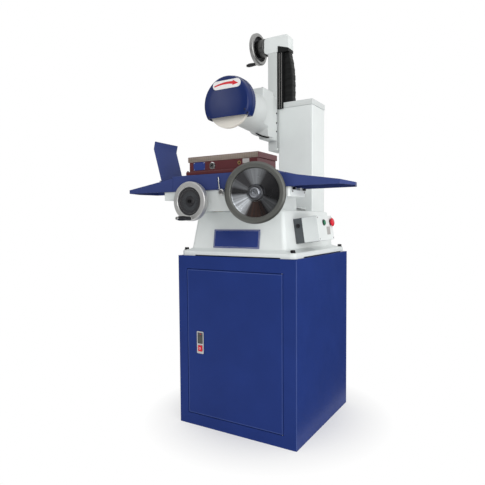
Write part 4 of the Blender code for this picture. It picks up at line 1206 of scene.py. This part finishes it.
class GRINDER_OT_way_cover(bpy.types.Operator):
    """Rubber cover round the elevating screw, built at one length; on the machine it shortens as the head
    comes down
    """
    bl_idname = "grinder.way_cover"
    bl_label = "Way cover"

    def execute(self, context):
        a, b = low("way_cover"), high("way_cover")
        levels, count, clear, narrow, bend = [], 84, 0.0003, 0.0755, 0.62
        for k in range(count + 1):
            t = k / count
            z = a.z + clear + (b.z - a.z - 2 * clear) * t
            swell = math.sin(math.pi / 2 * min(1.0, (1 - t) / bend)) ** 0.8
            right = narrow + (b.x - 0.0005 - narrow) * swell
            fold = 0.0007 * math.sin(t * 41.0) + 0.0004 * math.sin(t * 97.0 + 1.0)
            corner = 0.0057 if 0 < k < count else 0.0065
            outline = rectangle(a.x + 0.0002, right - 0.0010 + fold, a.y + 0.0010 - fold, b.y - 0.0002)
            levels.append((z, rounded(outline, corner, 6)))
        ends = ("frame", "head", (0.06, 0.08, a.z), (0.06, 0.08, b.z))
        make("way_cover_rubber", lofted(levels), ends, "black_rubber", ("way_cover",), 60)
        left, right, foot = 0.0300, 0.0790, b.z - 0.0050
        flap = [(left, foot), (right, foot), (right, b.z + 0.0085), (left + 0.0020, b.z + 0.0235),
                (left, b.z + 0.0225)]
        flap = prism(rounded(flap, [0.001, 0.001, 0.002, 0.003, 0.001], 4), 1, 0.0500, 0.0517, 0.0005, 2)
        make("way_cover_flap", flap, "head", "black_rubber")
        wrap = block((right - 0.0007, 0.0502, foot), (right + 0.0007, 0.0975, b.z + 0.0080), 0.0005)
        make("way_cover_wrap", wrap, "head", "black_rubber")
        return {"FINISHED"}


# ---- stage ------------------------------------------------------------------------------------
class GRINDER_OT_stage(bpy.types.Operator):
    """Pale floor, white surroundings, soft lights, dark cards for mirrors, and the camera"""
    bl_idname = "grinder.stage"
    bl_label = "Stage"

    def execute(self, context):
        scene = context.scene
        scene.view_settings.view_transform = "Standard"
        self.floor()
        self.surroundings(scene)
        key = stage_settings().key
        self.lamp("Key light", (2.60, -2.40, 1.75), (0.05, 0.0, 0.90), 1.7, key)
        self.lamp("Side light", (3.1, -0.9, 0.75), (0.2, -0.1, 0.8), 1.4, key * 0.42)
        self.lamp("Fill light", (-1.75, -2.80, 2.10), (0.0, 0.0, 1.0), 0.55, key * 0.10)
        self.dark_card("dark_card_in_front", (0.6, -4.4, 1.9), (0.6, 0.0, 1.9), 10.0, 3.3)
        self.dark_card("dark_card_behind", (2.6, 3.6, 0.35), (0.3, 0.0, 0.35), 5.0, 1.6)
        self.dark_card("dark_card_at_left", (-4.2, -0.5, 1.6), (0.0, -0.5, 1.2), 6.0, 3.0)
        self.dark_card("dark_card_on_floor", (1.9, 1.5, 0.02), (1.9, 1.5, 1.0), 3.2, 5.4)
        self.camera(scene)
        return {"FINISHED"}

    def add(self, name, data, matrix):
        thing = bpy.data.objects.new(name, data)
        bpy.context.scene.collection.objects.link(thing)
        thing.matrix_world = matrix
        return thing

    def looking(self, at, towards, axis):
        """The placing of a lamp or card whose own axis points from one place to another."""
        turn = (Vector(towards) - Vector(at)).to_track_quat(axis, "Y").to_matrix().to_4x4()
        return Matrix.Translation(Vector(at)) @ turn

    def sheet(self, name, bm, finish, matrix):
        """A flat piece of the stage."""
        mesh = bpy.data.meshes.new(name)
        bm.to_mesh(mesh)
        bm.free()
        mesh.materials.append(finish.material)
        plane = self.add(name, mesh, matrix)
        return plane

    def dark_card(self, name, at, towards, width, height):
        """A black card that only mirrors see, so that polished metal has something dark to show."""
        bm = bmesh.new()
        bmesh.ops.create_grid(bm, x_segments=1, y_segments=1, size=0.5)
        bmesh.ops.scale(bm, verts=bm.verts, vec=(width, height, 1.0))
        black = Finish(name, (0.012, 0.012, 0.012), 0.9)
        card = self.sheet(name, bm, black, self.looking(at, towards, "Z"))
        for ray in ("camera", "diffuse", "shadow", "transmission", "volume_scatter"):
            setattr(card, "visible_" + ray, False)

    def floor(self):
        """A pale disc that keeps the machine's shadow, and is plain white further out."""
        made = Finish("pale_floor", tuple(stage_settings().floor), 0.75, Specular_IOR_Level=0.1)
        far = made.length(made.place).step(0.12, 0.52)
        white = made.node("ShaderNodeEmission", None, {"Color": (1, 1, 1, 1), "Strength": 1.0}, "Emission")
        lit = Wire(made, made.shader.outputs["BSDF"])
        both = made.node("ShaderNodeMixShader", None, {0: far * made.seen(), 1: lit, 2: white}, "Shader")
        made.tree.links.new(both.socket, made.tree.nodes["Material Output"].inputs["Surface"])
        bm = bmesh.new()
        bmesh.ops.create_circle(bm, cap_ends=True, segments=64, radius=9.0)
        self.sheet("floor", bm, made, Matrix())

    def surroundings(self, scene):
        """White to the camera and to mirrors, and an even, weaker light on everything else."""
        scene.world = bpy.data.worlds.new("Studio")
        scene.world.use_nodes = True
        made = Shading(scene.world.node_tree)
        strength = made.node("ShaderNodeMapRange", None,
                             {"Value": made.seen(), "To Min": stage_settings().sky, "To Max": 1.0})
        sky = made.tree.nodes["Background"]
        sky.inputs["Color"].default_value = (1, 1, 1, 1)
        made.tree.links.new(strength.socket, sky.inputs["Strength"])

    def lamp(self, name, at, towards, size, power):
        data = bpy.data.lights.new(name, "AREA")
        data.shape = "SQUARE"
        data.size = size
        data.energy = power
        self.add(name, data, self.looking(at, towards, "-Z"))

    def camera(self, scene):
        data = bpy.data.cameras.new("Camera")
        data.lens = stage_settings().lens
        data.sensor_width = 36.0
        data.shift_x = -0.0165
        data.shift_y = 0.0064
        data.clip_end = 50.0
        heading, tilt, roll = (math.radians(angle) for angle in (30.688, 90 - 2.951, -0.373))
        place = (Matrix.Translation((0.9405, -1.7174, 0.8127)) @ Matrix.Rotation(heading, 4, "Z")
                 @ Matrix.Rotation(tilt, 4, "X") @ Matrix.Rotation(roll, 4, "Z"))
        scene.camera = self.add("Camera", data, place)


OPERATORS = (GRINDER_OT_stage, GRINDER_OT_cabinet, GRINDER_OT_base, GRINDER_OT_column, GRINDER_OT_switches,
             GRINDER_OT_saddle, GRINDER_OT_cross_feed, GRINDER_OT_traverse, GRINDER_OT_table,
             GRINDER_OT_chuck, GRINDER_OT_head, GRINDER_OT_guard, GRINDER_OT_wheel, GRINDER_OT_elevating,
             GRINDER_OT_way_cover)


class GRINDER_PT_panel(bpy.types.Panel):
    """Lists the machine's pieces in the sidebar"""
    bl_idname = "GRINDER_PT_panel"
    bl_label = "Surface grinder"
    bl_space_type = "VIEW_3D"
    bl_region_type = "UI"
    bl_category = "Grinder"

    def draw(self, context):
        for group in (context.scene.grinder_paint, context.scene.grinder_sizes, context.scene.grinder_stage):
            box = self.layout.box()
            for name in group.__annotations__:
                box.prop(group, name)
        for operator in OPERATORS:
            self.layout.operator(operator.bl_idname)


CLASSES = (GrinderPaint, GrinderSizes, GrinderStage) + OPERATORS + (GRINDER_PT_panel,)


def register():
    for item in CLASSES:
        bpy.utils.register_class(item)
    bpy.types.Scene.grinder_paint = bpy.props.PointerProperty(type=GrinderPaint)
    bpy.types.Scene.grinder_sizes = bpy.props.PointerProperty(type=GrinderSizes)
    bpy.types.Scene.grinder_stage = bpy.props.PointerProperty(type=GrinderStage)


def unregister():
    del bpy.types.Scene.grinder_paint
    del bpy.types.Scene.grinder_sizes
    del bpy.types.Scene.grinder_stage
    for item in reversed(CLASSES):
        bpy.utils.unregister_class(item)


def main():
    register()
    for operator in OPERATORS:
        group, name = operator.bl_idname.split(".")
        getattr(getattr(bpy.ops, group), name)()


if __name__ == "__main__":
    main()
